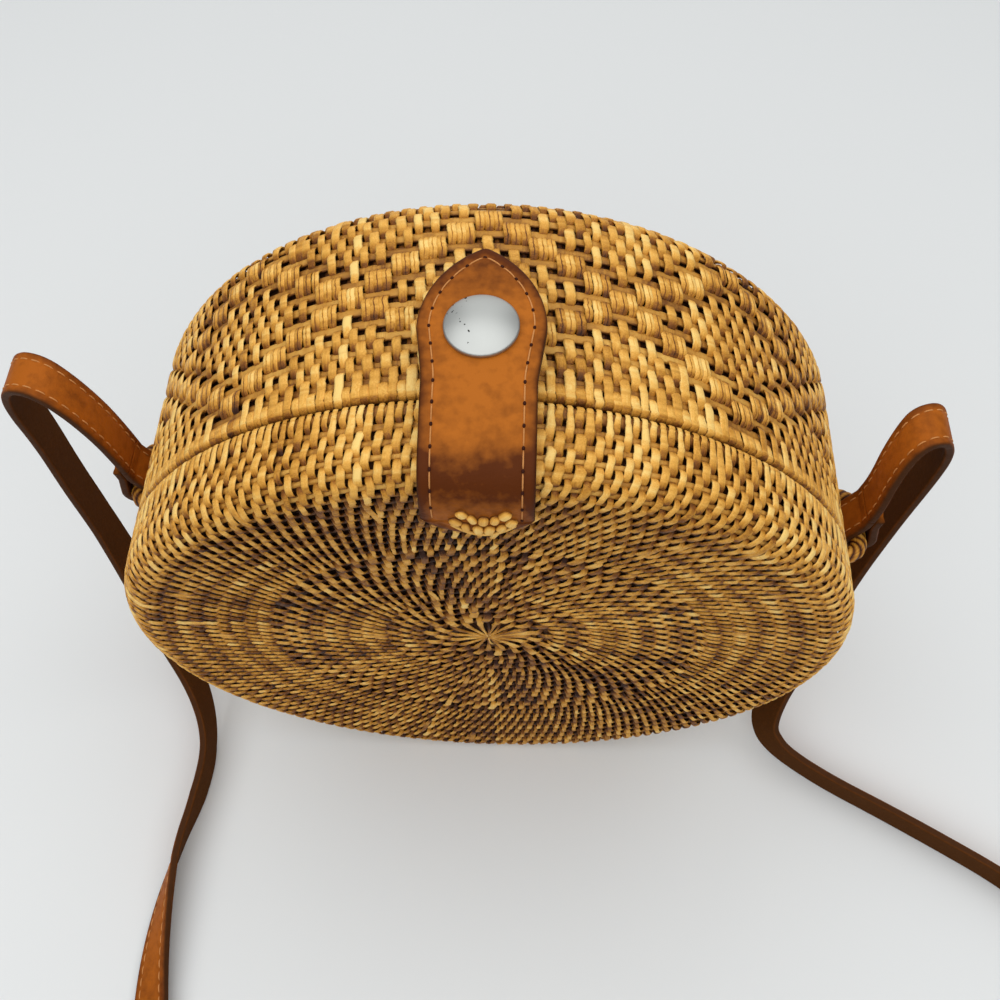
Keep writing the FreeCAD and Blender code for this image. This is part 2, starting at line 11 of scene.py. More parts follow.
import bmesh
import bpy
import numpy as np
from mathutils import Matrix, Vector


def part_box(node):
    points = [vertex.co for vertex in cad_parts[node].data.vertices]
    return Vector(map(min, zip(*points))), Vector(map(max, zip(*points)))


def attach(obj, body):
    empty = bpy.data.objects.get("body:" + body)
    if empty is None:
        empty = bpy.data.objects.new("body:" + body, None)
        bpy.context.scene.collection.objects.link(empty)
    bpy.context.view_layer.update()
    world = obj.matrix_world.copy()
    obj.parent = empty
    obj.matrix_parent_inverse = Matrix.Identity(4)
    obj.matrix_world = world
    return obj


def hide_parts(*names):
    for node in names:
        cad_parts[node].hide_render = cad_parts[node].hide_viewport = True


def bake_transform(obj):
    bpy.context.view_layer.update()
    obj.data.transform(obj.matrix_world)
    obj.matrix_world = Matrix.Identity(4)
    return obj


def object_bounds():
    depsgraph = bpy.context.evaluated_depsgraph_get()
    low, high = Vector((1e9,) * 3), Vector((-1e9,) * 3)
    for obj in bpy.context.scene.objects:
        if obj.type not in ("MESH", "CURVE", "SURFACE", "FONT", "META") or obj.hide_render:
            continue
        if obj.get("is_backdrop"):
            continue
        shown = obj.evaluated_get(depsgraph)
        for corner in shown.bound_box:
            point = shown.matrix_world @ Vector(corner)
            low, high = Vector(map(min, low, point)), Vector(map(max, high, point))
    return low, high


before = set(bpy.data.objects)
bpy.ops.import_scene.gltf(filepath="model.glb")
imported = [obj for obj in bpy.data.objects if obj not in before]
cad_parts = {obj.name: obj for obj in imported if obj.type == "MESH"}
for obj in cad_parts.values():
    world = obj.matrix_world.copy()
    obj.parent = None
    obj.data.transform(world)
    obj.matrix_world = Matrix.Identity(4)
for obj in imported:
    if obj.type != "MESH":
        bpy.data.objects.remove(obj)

LOG = logging.getLogger("cane_bag")
MM = 0.001
SEED = 11
NOISE_MIDDLE = 0.5
WELD_DISTANCE = 0.01
TINY = 1e-9
Array = np.ndarray
Pair = tuple[float, float]
Point = tuple[float, float, float]
Colour = Point


class Side(Enum):
    """Half of the bag; the value is the sign of its depth."""

    FRONT = -1
    BACK = 1


class Hand(Enum):
    """Left or right of the bag; the value is the sign of X."""

    LEFT = -1
    RIGHT = 1

    @property
    def label(self) -> str:
        """The word that names carry."""
        return self.name.lower()


def operator(operation: str, swapped: bool = False) -> Callable[["Link", "Feed"], "Link"]:
    """Make an operator that adds one Math node.

    Args:
        operation: the Math node's operation.
        swapped: whether the other value comes first, as in a reflected form.

    Returns:
        The operator, as a method of Link.
    """

    def method(self: "Link", other: "Feed") -> "Link":
        """Result of the node."""
        first, second = (other, self) if swapped else (self, other)
        return self.recipe.node("ShaderNodeMath", {"operation": operation}, {0: first, 1: second})

    return method


class Link:
    """An output socket that takes part in Python sums: each operator adds one Math node."""

    def __init__(self, recipe: "Recipe", socket: bpy.types.NodeSocket) -> None:
        """Keep the socket and the recipe that it belongs to."""
        self.recipe = recipe
        self.socket = socket

    __add__ = operator("ADD")
    __radd__ = operator("ADD", swapped=True)
    __sub__ = operator("SUBTRACT")
    __rsub__ = operator("SUBTRACT", swapped=True)
    __mul__ = operator("MULTIPLY")
    __rmul__ = operator("MULTIPLY", swapped=True)
    __pow__ = operator("POWER")
    __gt__ = operator("GREATER_THAN")


Feed = Union[Link, float, Sequence[float]]
Stops = Sequence[tuple[float, Colour]]


class Recipe:
    """A material in the making: its node tree and the surface shader that its links feed."""

    def __init__(self, name: str) -> None:
        """Start an empty tree with one surface shader.

        Args:
            name: the material's name.
        """
        self.material = bpy.data.materials.new(name)
        self.material.use_nodes = True
        self.tree = self.material.node_tree
        self.tree.nodes.clear()
        self.shader = self.tree.nodes.new("ShaderNodeBsdfPrincipled")
        output = self.tree.nodes.new("ShaderNodeOutputMaterial")
        self.tree.links.new(self.shader.outputs[0], output.inputs[0])

    def feed(self, socket: bpy.types.NodeSocket, value: Feed) -> None:
        """Link a socket, or set its value; a colour of three numbers is opaque.

        Args:
            socket: the input socket.
            value: a link, a number, a colour or a vector.
        """
        if isinstance(value, Link):
            self.tree.links.new(value.socket, socket)
        elif socket.type == "RGBA":
            socket.default_value = (*value, 1.0)
        else:
            socket.default_value = value

    def node(self, kind: str, settings: dict, inputs: dict, output: Union[int, str] = 0) -> Link:
        """Add one node.

        Args:
            kind: the node's type.
            settings: its properties, set first; "stops" are a ramp's places and colours.
            inputs: values or links of its sockets, by number or name.
            output: the socket that is returned.

        Returns:
            The output as a link.
        """
        node = self.tree.nodes.new(kind)
        for key, value in settings.items():
            if key == "stops":
                self.set_stops(node.color_ramp, value)
            else:
                setattr(node, key, value)
        for key, value in inputs.items():
            self.feed(node.inputs[key], value)
        return Link(self, node.outputs[output])

    def set_stops(self, ramp: bpy.types.ColorRamp, stops: Stops) -> None:
        """Give a ramp its stops, in rising order.

        Args:
            ramp: the ramp of a node.
            stops: places from 0 to 1 with their colours.
        """
        while len(ramp.elements) < len(stops):
            ramp.elements.new(1.0)
        for element, (place, colour) in zip(ramp.elements, stops):
            element.position = place
            element.color = (*colour, 1.0)

    def attribute(self, name: str) -> Link:
        """Value of one of the mesh's own attributes."""
        return self.node("ShaderNodeAttribute", {"attribute_name": name}, {}, "Fac")

    def place(self) -> Link:
        """Object coordinates, in metres."""
        return self.node("ShaderNodeTexCoord", {}, {}, "Object")

    def noise(self, where: Link, scale: float, detail: float = 3.0) -> Link:
        """Cloudy value between 0 and 1 about 0.5."""
        return self.node("ShaderNodeTexNoise", {}, {"Vector": where, "Scale": scale, "Detail": detail})

    def ramp(self, value: Link, stops: Stops) -> Link:
        """Colour looked up on a ramp."""
        return self.node("ShaderNodeValToRGB", {"stops": stops}, {0: value})

    def mix(self, share: Feed, first: Feed, second: Feed) -> Link:
        """Blend of two colours."""
        return self.node("ShaderNodeMix", {"data_type": "RGBA"}, {0: share, 6: first, 7: second}, 2)

    def clamp(self, value: Link) -> Link:
        """Value held between 0 and 1."""
        return self.node("ShaderNodeClamp", {}, {0: value})

    def bump(self, height: Link, strength: float, depth: float) -> Link:
        """Normal of a small relief, whose depth is in millimetres."""
        inputs = {"Strength": strength, "Distance": depth * MM, "Height": height}
        return self.node("ShaderNodeBump", {}, inputs)

    def surface(self, **inputs: Feed) -> bpy.types.Material:
        """Set the shader's sockets.

        Args:
            **inputs: values or links, by the socket's name with _ for a space.

        Returns:
            The finished material.
        """
        for name, value in inputs.items():
            self.feed(self.shader.inputs[name.replace("_", " ")], value)
        return self.material


@dataclass(frozen=True)
class CaneFinish:
    """Split cane: streaks along each strip, pale on the crests and painted darker where it dives, as shade.

    The mesh gives each strip's tone, its length along and its place across in millimetres, its painted
    shade, from 0 on a crest to 1 behind a rod, split, 1 where it is slit along its middle, and rim, 1
    on its cut edges, which are painted lighter as a highlight. The three numbers of the grain scale
    along, across and tone.
    """

    name: str
    stops: Stops
    # Painted shade: how much darker a strip is painted where it dives behind a rod.
    sunk_share: float = 0.64
    streak_share: float = 0.54
    # Painted highlight: how much lighter a strip's cut edges are painted.
    edge_highlight: float = 0.14
    blotch_share: float = 0.30
    slit_share: float = 0.5
    slit_sharpness: float = 26.0
    grain: Point = (0.05, 2.4, 60.0)
    blotch_scale: float = 55.0
    detail: float = 4.0
    roughness: float = 0.50
    rough_spread: float = 0.25
    rough_drop: float = 0.12
    relief: Pair = (0.5, 0.25)
    shine: float = 0.2

    def make(self) -> bpy.types.Material:
        """Build the material.

        Returns:
            The finished material.
        """
        recipe = Recipe(self.name)
        words = ("tone", "sink", "along", "across", "rim", "split")
        tone, sink, along, across, rim, split = (recipe.attribute(word) for word in words)
        length, width, shift = self.grain
        axes = {0: along * length, 1: across * width, 2: tone * shift}
        streak = recipe.noise(recipe.node("ShaderNodeCombineXYZ", {}, axes), 1.0, self.detail)
        blotch = recipe.noise(recipe.place(), self.blotch_scale, self.detail)
        slit = recipe.clamp(1.0 - across * across * self.slit_sharpness) * split
        # The cut edges are painted lighter, as a highlight.
        shade = tone + (streak - NOISE_MIDDLE) * self.streak_share + rim * self.edge_highlight
        shade = shade + (blotch - NOISE_MIDDLE) * self.blotch_share - slit * self.slit_share
        # Painted shade: the colour is darkened where the strip dives behind a rod.
        colour = recipe.ramp(shade - sink * self.sunk_share, self.stops)
        rough = streak * self.rough_spread + (self.roughness - self.rough_drop)
        relief = recipe.bump(streak, *self.relief)
        return recipe.surface(Base_Color=colour, Roughness=rough, Normal=relief,
                              Specular_IOR_Level=self.shine)


@dataclass(frozen=True)
class LeatherFinish:
    """Tanned leather: mottled and finely pored, darker at the edges, rough on its flesh side.

    The mesh gives edge, from 0 inside to 1 at a cut edge, flesh, 1 on the rough side, and a value
    that darkens it: painted shade at the tab's bend and below its crease, and a plain darkening at the
    tab's tip and along the sewn margins. Cloud, fleck and nap are a noise's scale and detail.
    """

    name: str
    base: Colour
    deep: Colour
    rim: Colour
    flesh: Colour
    roughness: float = 0.45
    rough_spread: float = 0.25
    rough_drop: float = 0.12
    flesh_rough: float = 0.4
    shine: float = 0.06
    cloud: Pair = (70.0, 5.0)
    cloud_level: float = 0.40
    cloud_share: float = 1.1
    fleck: Pair = (420.0, 3.0)
    rim_power: float = 2.0
    rim_fleck: float = 0.3
    nap: Pair = (1300.0, 2.0)
    nap_shade: float = 0.6
    pore_scale: float = 1500.0
    pore_share: float = 0.5
    relief: Pair = (0.35, 0.25)

    def make(self) -> bpy.types.Material:
        """Build the material.

        Returns:
            The finished material.
        """
        recipe = Recipe(self.name)
        edge, flesh, worn = (recipe.attribute(word) for word in ("edge", "flesh", "worn"))
        where = recipe.place()
        cloud, fleck, nap = (recipe.noise(where, *grain) for grain in (self.cloud, self.fleck, self.nap))
        pores = recipe.node("ShaderNodeTexVoronoi", {}, {"Vector": where, "Scale": self.pore_scale})
        speckle = fleck - NOISE_MIDDLE
        # The mottle and flecks are the leather's own; the mesh's value adds painted shade and plain
        # darkening.
        dark = (cloud - self.cloud_level) * self.cloud_share + speckle + worn
        colour = recipe.mix(recipe.clamp(dark), self.base, self.deep)
        rim = recipe.clamp(edge ** self.rim_power + speckle * self.rim_fleck)
        colour = recipe.mix(rim, colour, self.rim)
        rough_side = recipe.mix(nap, tuple(self.nap_shade * c for c in self.flesh), self.flesh)
        colour = recipe.mix(flesh, colour, rough_side)
        rough = fleck * self.rough_spread + flesh * self.flesh_rough + (self.roughness - self.rough_drop)
        relief = recipe.bump(pores * self.pore_share + cloud + nap * flesh, *self.relief)
        return recipe.surface(Base_Color=colour, Roughness=rough, Normal=relief,
                              Specular_IOR_Level=self.shine)


@dataclass(frozen=True)
class ThreadFinish:
    """Waxed sewing thread with a fine twist."""

    name: str
    pale: Colour
    dark: Colour
    twist: Pair = (2200.0, 2.0)
    twist_share: float = 0.6
    wear_scale: float = 160.0
    wear_share: float = 0.8
    level: float = 0.3
    roughness: float = 0.62
    relief: Pair = (0.5, 0.1)
    shine: float = 0.1

    def make(self) -> bpy.types.Material:
        """Build the material.

        Returns:
            The finished material.
        """
        recipe = Recipe(self.name)
        where = recipe.place()
        twist, wear = recipe.noise(where, *self.twist), recipe.noise(where, self.wear_scale)
        shade = recipe.clamp(twist * self.twist_share + wear * self.wear_share - self.level)
        return recipe.surface(Base_Color=recipe.mix(shade, self.pale, self.dark), Roughness=self.roughness,
                              Normal=recipe.bump(twist, *self.relief), Specular_IOR_Level=self.shine)


@dataclass(frozen=True)
class MetalFinish:
    """Plated metal with faint clouding and a few dark pits left of pit_side, in millimetres."""

    name: str
    colour: Colour
    pit: Colour
    roughness: float = 0.48
    rough_spread: float = 0.16
    rough_drop: float = 0.08
    pit_rough: float = 0.4
    cloud_scale: float = 160.0
    cloud_level: float = 0.52
    pits: Pair = (1100.0, 1.0)
    pit_level: float = 0.68
    pit_side: float = -2.0

    def make(self) -> bpy.types.Material:
        """Build the material.

        Returns:
            The finished material.
        """
        recipe = Recipe(self.name)
        where = recipe.place()
        cloud = recipe.noise(where, self.cloud_scale)
        left = recipe.node("ShaderNodeSeparateXYZ", {}, {0: where}, "X") * -1.0 > -self.pit_side * MM
        speck = (recipe.noise(where, *self.pits) > self.pit_level) * (cloud > self.cloud_level) * left
        colour = recipe.mix(speck, self.colour, self.pit)
        rough = cloud * self.rough_spread + speck * self.pit_rough + (self.roughness - self.rough_drop)
        return recipe.surface(Base_Color=colour, Metallic=1.0, Roughness=rough)


@dataclass(frozen=True)
class ClothFinish:
    """Plain cotton: two crossing sets of threads with slubs."""

    name: str
    pale: Colour
    dark: Colour
    thread: float = 0.7
    weave_share: float = 0.45
    slub: Pair = (240.0, 4.0)
    slub_share: float = 0.6
    level: float = 0.1
    roughness: float = 0.9
    relief: Pair = (0.5, 0.2)

    def make(self) -> bpy.types.Material:
        """Build the material; threads repeat along and across in millimetres.

        Returns:
            The finished material.
        """
        recipe = Recipe(self.name)
        places = (recipe.attribute(word) * (2 * np.pi / self.thread) for word in ("along", "across"))
        warp, weft = (recipe.node("ShaderNodeMath", {"operation": "SINE"}, {0: place}) for place in places)
        weave = warp * weft * 0.5 + 0.5
        slub = recipe.noise(recipe.place(), *self.slub)
        shade = recipe.clamp(weave * self.weave_share + slub * self.slub_share - self.level)
        return recipe.surface(Base_Color=recipe.mix(shade, self.dark, self.pale), Roughness=self.roughness,
                              Normal=recipe.bump(weave, *self.relief))


@dataclass(frozen=True)
class FloorFinish:
    """Pale matt table top."""

    name: str
    colour: Colour
    cloud_scale: float = 4.0
    cloud_share: float = 0.2
    cloud_shade: float = 0.96
    roughness: float = 0.75
    shine: float = 0.2

    def make(self) -> bpy.types.Material:
        """Build the material.

        Returns:
            The finished material.
        """
        recipe = Recipe(self.name)
        cloud = recipe.noise(recipe.place(), self.cloud_scale)
        shaded = tuple(self.cloud_shade * c for c in self.colour)
        colour = recipe.mix(cloud * self.cloud_share, self.colour, shaded)
        return recipe.surface(Base_Color=colour, Roughness=self.roughness, Specular_IOR_Level=self.shine)


class Finishes:
    """The materials of the bag, each made once."""

    def __init__(self) -> None:
        """Make every finish."""
        self.splint = CaneFinish("splint_cane", (
            (0.00, (0.034, 0.009, 0.003)), (0.28, (0.225, 0.076, 0.010)), (0.50, (0.530, 0.236, 0.028)),
            (0.75, (0.800, 0.418, 0.078)), (1.00, (0.930, 0.630, 0.200)))).make()
        self.rod = CaneFinish("rod_cane", (
            (0.00, (0.028, 0.009, 0.004)), (0.30, (0.175, 0.062, 0.012)), (0.55, (0.490, 0.228, 0.036)),
            (1.00, (0.820, 0.500, 0.120)))).make()
        # The inner weave layer stands for the under-splints and inner rods and is painted near black, as
        # the shade deep inside the weave.
        self.core = CaneFinish("inner_cane_shade", (
            (0.00, (0.022, 0.008, 0.004)), (0.50, (0.062, 0.023, 0.008)), (1.00, (0.140, 0.056, 0.016))),
            roughness=0.75).make()
        self.tab = LeatherFinish("tab_leather", (0.430, 0.126, 0.013), (0.098, 0.023, 0.004),
                                 (0.045, 0.012, 0.004), (0.260, 0.130, 0.055)).make()
        self.strap = LeatherFinish("strap_leather", (0.385, 0.102, 0.009), (0.125, 0.030, 0.005),
                                   (0.060, 0.021, 0.006), (0.100, 0.034, 0.007), roughness=0.55).make()
        self.thread = ThreadFinish("pale_thread", (0.640, 0.290, 0.095), (0.400, 0.150, 0.038)).make()
        # The needle holes are dark marks painted as the shade inside the holes.
        self.needle = ThreadFinish("needle_hole_shade", (0.050, 0.012, 0.006), (0.030, 0.007, 0.004)).make()
        self.nickel = MetalFinish("snap_nickel", (0.500, 0.513, 0.494), (0.050, 0.046, 0.042)).make()
        self.cotton = ClothFinish("lining_cotton", (0.560, 0.430, 0.290), (0.380, 0.270, 0.160)).make()
        self.floor = FloorFinish("pale_floor", (0.752, 0.772, 0.775)).make()


@dataclass(frozen=True)
class Fold:
    """A joint that a soft piece bends across: the bodies on either side, and where the bend starts and
    ends.
    """

    before: str
    after: str
    start: Point
    end: Point


def tube_mesh(name: str, points: Array, values: dict[str, Array], ring: bool = False,
              weld: bool = False) -> bpy.types.Object:
    """Make one mesh of many tubes.

    Point (c, i, j) is copy c, station i along its path and place j round its closed profile. Quads
    join neighbouring stations and places. An open tube is closed at each end by a strip of quads
    from one side of the profile to the other, and a ring joins its last station to its first.

    Args:
        name: the piece's name.
        points: places in millimetres, of shape (copies, stations, places, 3).
        values: attributes of the points, each of a shape that spreads over the first three axes.
        ring: whether the path is closed.
        weld: whether points that fall together, as on an axis, are merged.

    Returns:
        The new object, its faces turned outwards.
    """
    copies, rows, cols, _ = points.shape
    index = np.arange(rows * cols).reshape(rows, cols)
    beside = np.roll(index, -1, axis=1)
    if ring:
        quads = np.stack([index, np.roll(index, -1, 0), np.roll(beside, -1, 0), beside], -1).reshape(-1, 4)
    else:
        quads = np.stack([index[:-1], index[1:], beside[1:], beside[:-1]], -1).reshape(-1, 4)
        near = np.arange(cols // 2 - 1)
        strip = np.stack([near, near + 1, cols - 2 - near, cols - 1 - near], -1)
        quads = np.concatenate([quads, strip, (strip + (rows - 1) * cols)[:, ::-1]])
    first = points[0].reshape(-1, 3) - points[0].reshape(-1, 3).mean(0)
    a, b, c, d = (first[quads[:, k]] for k in range(4))
    volume = (a * np.cross(b, c)).sum() + (a * np.cross(c, d)).sum()
    if volume < 0:
        quads = quads[:, ::-1]
    faces = (quads[None] + (np.arange(copies) * rows * cols)[:, None, None]).reshape(-1, 4)
    mesh = bpy.data.meshes.new(name)
    mesh.vertices.add(copies * rows * cols)
    mesh.vertices.foreach_set("co", (points * MM).astype(np.float32).ravel())
    mesh.loops.add(faces.size)
    mesh.loops.foreach_set("vertex_index", faces.astype(np.int32).ravel())
    mesh.polygons.add(len(faces))
    mesh.polygons.foreach_set("loop_start", np.arange(0, faces.size, 4, dtype=np.int32))
    mesh.polygons.foreach_set("use_smooth", np.ones(len(faces), dtype=bool))
    for key, value in values.items():
        spread = np.broadcast_to(value, (copies, rows, cols)).astype(np.float32)
        mesh.attributes.new(key, "FLOAT", "POINT").data.foreach_set("value", spread.ravel())
    mesh.update(calc_edges=True)
    if weld:
        weld_mesh(mesh)
    piece = bpy.data.objects.new(name, mesh)
    bpy.context.scene.collection.objects.link(piece)
    return piece


def weld_mesh(mesh: bpy.types.Mesh) -> None:
    """Merge the points of a mesh that fall together.

    Args:
        mesh: the mesh, changed in place.
    """
    work = bmesh.new()
    work.from_mesh(mesh)
    bmesh.ops.remove_doubles(work, verts=work.verts, dist=WELD_DISTANCE * MM)
    work.to_mesh(mesh)
    work.free()


def dress(piece: bpy.types.Object, finish: bpy.types.Material, carrier: Union[str, Fold],
          stands_for: Sequence[str] = ()) -> bpy.types.Object:
    """Give a piece its finish, and hang it on the body that carries it or bake its place into its points.

    Args:
        piece: the new object.
        finish: its material.
        carrier: the body that it rides on, or the joint that it bends across, for which its place is only
            baked in.
        stands_for: solids that it replaces.

    Returns:
        The same object.
    """
    piece.data.materials.append(finish)
    if isinstance(carrier, Fold):
        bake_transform(piece)
    else:
        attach(piece, carrier)
    if stands_for:
        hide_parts(*stands_for)
    LOG.info("%s: %d faces", piece.name, len(piece.data.polygons))
    return piece


def circle(count: int) -> Array:
    """Angles spaced evenly once round."""
    return np.linspace(0, 2 * np.pi, count, endpoint=False)


def points_of(*axes: Array) -> Array:
    """Points from their coordinates, which are spread over one another."""
    return np.stack(np.broadcast_arrays(*axes), -1)


def there_and_back(there: Array, back: Array) -> Array:
    """Values along the last axis, then others in reverse, as on the two sides of a strip."""
    return np.concatenate([there, back[..., ::-1]], axis=-1)


def ribbon_profile(half_width: float, half_thick: float, round_off: float, steps: int = 3) -> Array:
    """Closed outline of a strip with rounded corners, anticlockwise from its right upper corner.

    Each corner is a quarter circle of the given radius about a point that far inside both sides.

    Args:
        half_width: half the strip's width.
        half_thick: half its thickness.
        round_off: radius of its corners.
        steps: points on each corner.

    Returns:
        Places across and above, of shape (4 * steps, 2).
    """
    turn = np.linspace(0, np.pi / 2, steps)[None] + np.arange(4)[:, None] * np.pi / 2
    signs = np.array([(1, 1), (-1, 1), (-1, -1), (1, -1)])
    inner = signs * (half_width - round_off, half_thick - round_off)
    outline = inner[:, None] + round_off * np.stack([np.cos(turn), np.sin(turn)], -1)
    return outline.reshape(-1, 2)


def run_path(start: tuple[float, float], heading: float, runs: Sequence[tuple[float, float]],
             step: float) -> tuple[Array, Array, Array]:
    """Follow straight runs and arcs in a plane.

    Each run is a length and the angle that the heading turns over it, and the path is the running
    sum of the direction (cos heading, sin heading).

    Args:
        start: the first place.
        heading: the first direction, in radians.
        runs: lengths, with the angles that are turned over them.
        step: the longest distance between two places.

    Returns:
        Length so far, places of shape (n, 2) and headings.
    """
    lengths = np.array([0.0] + [length for length, _ in runs]).cumsum()
    turns = heading + np.array([0.0] + [turn for _, turn in runs]).cumsum()
    along = np.linspace(0, lengths[-1], int(lengths[-1] / step) + 2)
    headings = np.interp(along, lengths, turns)
    middle = (headings[1:] + headings[:-1]) / 2
    moves = np.diff(along)[:, None] * np.stack([np.cos(middle), np.sin(middle)], -1)
    places = np.concatenate([[start], np.array(start) + moves.cumsum(0)])
    return along, places, headings


def along_line(line: Array, where: Array) -> Array:
    """Values of a line's rows at lengths counted in its own first column."""
    return np.stack([np.interp(where, line[:, 0], line[:, k]) for k in range(1, line.shape[1])], -1)


def unit(vectors: Array) -> Array:
    """Vectors of length one."""
    return vectors / np.linalg.norm(vectors, axis=-1, keepdims=True)


def length_along(points: Array) -> Array:
    """Length from the first of a row of points to each."""
    return np.concatenate([[0.0], np.linalg.norm(np.diff(points, axis=0), axis=1).cumsum()])


@dataclass(frozen=True)
class Thread:
    """A row of sewn stitches that dive into the leather at both ends."""

    pitch: float
    length: float
    radius: float = 0.33
    lift: float = 0.12
    phase: float = 0.5
    stations: int = 5
    sides: int = 6
    look_ahead: float = 0.2

    def points(self, path: Array, normal: Array) -> Array:
        """Stitches along a path.

        A stitch is a thin tube: at a share t from -1 to 1 of its length it stands lift * (1 - 2 t^4)
        above the leather, and its radius shrinks with sqrt(1 - t^4 / 2).

        Args:
            path: points on the leather, in order.
            normal: the leather's outward direction at each.

        Returns:
            Points of shape (stitches, stations, places, 3).
        """
        line = np.concatenate([length_along(path)[:, None], path, normal], axis=1)
        count = int(line[-1, 0] / self.pitch)
        share = np.linspace(-1, 1, self.stations)
        centres = (np.arange(count) + self.phase) * line[-1, 0] / count
        places = centres[:, None] + share * self.length / 2
        here, ahead = along_line(line, places), along_line(line, places + self.look_ahead)
        middle, up = here[..., :3], unit(here[..., 3:])
        aside = unit(np.cross(ahead[..., :3] - middle + TINY, up))
        height = self.lift * (1 - 2 * share ** 4)
        middle = middle + up * height[:, None]
        thick = self.radius * np.sqrt(1 - share ** 4 / 2)
        turn = circle(self.sides)
        spoke = aside[..., None, :] * np.cos(turn)[:, None] + up[..., None, :] * np.sin(turn)[:, None]
        return middle[..., None, :] + spoke * thick[:, None, None]


class BagSizes:
    """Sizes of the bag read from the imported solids, in millimetres."""

    tab_gap: float = 0.3
    front_edge: float = 7.5

    def __init__(self) -> None:
        """Measure the boxes of the solids."""
        mouth_low, mouth_high = self.box("back_mouth_rod")
        root_high = self.box("tab_root")[1]
        self.radius = (mouth_high[0] - mouth_low[0]) / 2
        self.half_depth = -root_high[1] - self.tab_gap
        self.top = root_high[2] + self.front_edge
        self.axis_height = self.top - self.radius
        self.front_mouth = self.box("front_mouth_rod")[1][1]
        self.back_mouth = mouth_low[1]
        self.seam = (self.front_mouth + self.back_mouth) / 2
        cap_low, cap_high = self.box("snap_cap")
        self.snap_y = (cap_low[1] + cap_high[1]) / 2
        self.cap_diameter = cap_high[0] - cap_low[0]
        self.cap_top = cap_high[2]
        self.tab_top = self.box("tab_outer")[1][2]

    @staticmethod
    def box(node: str) -> tuple[Array, Array]:
        """Lowest and highest corner of a solid."""
        low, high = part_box(node)
        return np.array(low) / MM, np.array(high) / MM


@dataclass(frozen=True)
class Section:
    """Outer section of one half: a dished face, a rounded edge and a straight rim.

    A place s is measured along the section from the middle of the face to the mouth.
    """

    side: Side
    radius: float
    depth: float
    crest: float
    axis_height: float
    edge_radius: float
    dish: float
    press_height: float = 1.6
    press_share: float = 0.50

    @property
    def reach(self) -> float:
        """Radius at which the edge's bend is centred."""
        return self.radius - self.edge_radius

    @property
    def dish_radius(self) -> float:
        """Radius of the dished face, which meets the edge's bend without a corner."""
        return (self.reach ** 2 + self.dish ** 2) / (2 * self.dish) - self.edge_radius

    @property
    def spread(self) -> float:
        """Angle of the dished face from its middle to its rim."""
        return float(np.arctan2(self.reach, self.edge_radius - self.dish + self.dish_radius))

    @property
    def face_length(self) -> float:
        """Length of the section over the dished face."""
        return self.dish_radius * self.spread

    @property
    def edge_length(self) -> float:
        """Length of the section round the edge."""
        return self.edge_radius * (np.pi / 2 + self.spread)

    @property
    def length(self) -> float:
        """Length of the whole section."""
        return self.face_length + self.edge_length + self.depth - self.edge_radius

    def outline(self, s: Array) -> tuple[Array, Array, Array, Array]:
        """Outer surface at s.

        The face is an arc about a point outside the bag, the edge an arc about a point inside the
        rim, and the rim is straight.

        Args:
            s: lengths along the section, from the middle of the face.

        Returns:
            Radius, depth, and the two parts of the outward normal.
        """
        e = self.edge_radius
        turn = np.clip(s / self.dish_radius, 0, self.spread)
        quarter = np.pi / 2 + self.spread
        bend = np.clip((s - self.face_length) / e, 0, quarter) - quarter
        run = np.maximum(s - self.face_length - self.edge_length, 0)
        on_face = s < self.face_length
        away = np.where(on_face, self.dish_radius * np.sin(turn), self.reach + e * np.cos(bend))
        inward = np.where(on_face, self.dish + self.dish_radius * (np.cos(turn) - 1),
                          e + e * np.sin(bend) + run)
        out = np.where(on_face, -np.sin(turn), np.cos(bend))
        out_inward = np.where(on_face, -np.cos(turn), np.sin(bend))
        sign = self.side.value
        return away, sign * (self.crest - inward), out, -sign * out_inward

    def at(self, s: Array, inset: Array, angle: Array) -> Array:
        """Points below the outer surface, at an angle from the top; the foot is pressed flat.

        Heights under press_height are squeezed towards it by press_share.

        Args:
            s: lengths along the section.
            inset: distances below the outer surface.
            angle: angles from the top, in radians.

        Returns:
            Points, with the three spread over one another.
        """
        away, depth, out, out_depth = self.outline(s)
        radius = away - inset * out
        x = radius * np.sin(angle)
        z = self.axis_height + radius * np.cos(angle)
        pressed = self.press_height + (z - self.press_height) * self.press_share
        return points_of(x, depth - inset * out_depth, np.where(z < self.press_height, pressed, z))


@dataclass(frozen=True)
class Zone:
    """A ring of the weave with one number of splints, from an inner to an outer radius of the face."""

    count: int
    inner: float
    outer: float


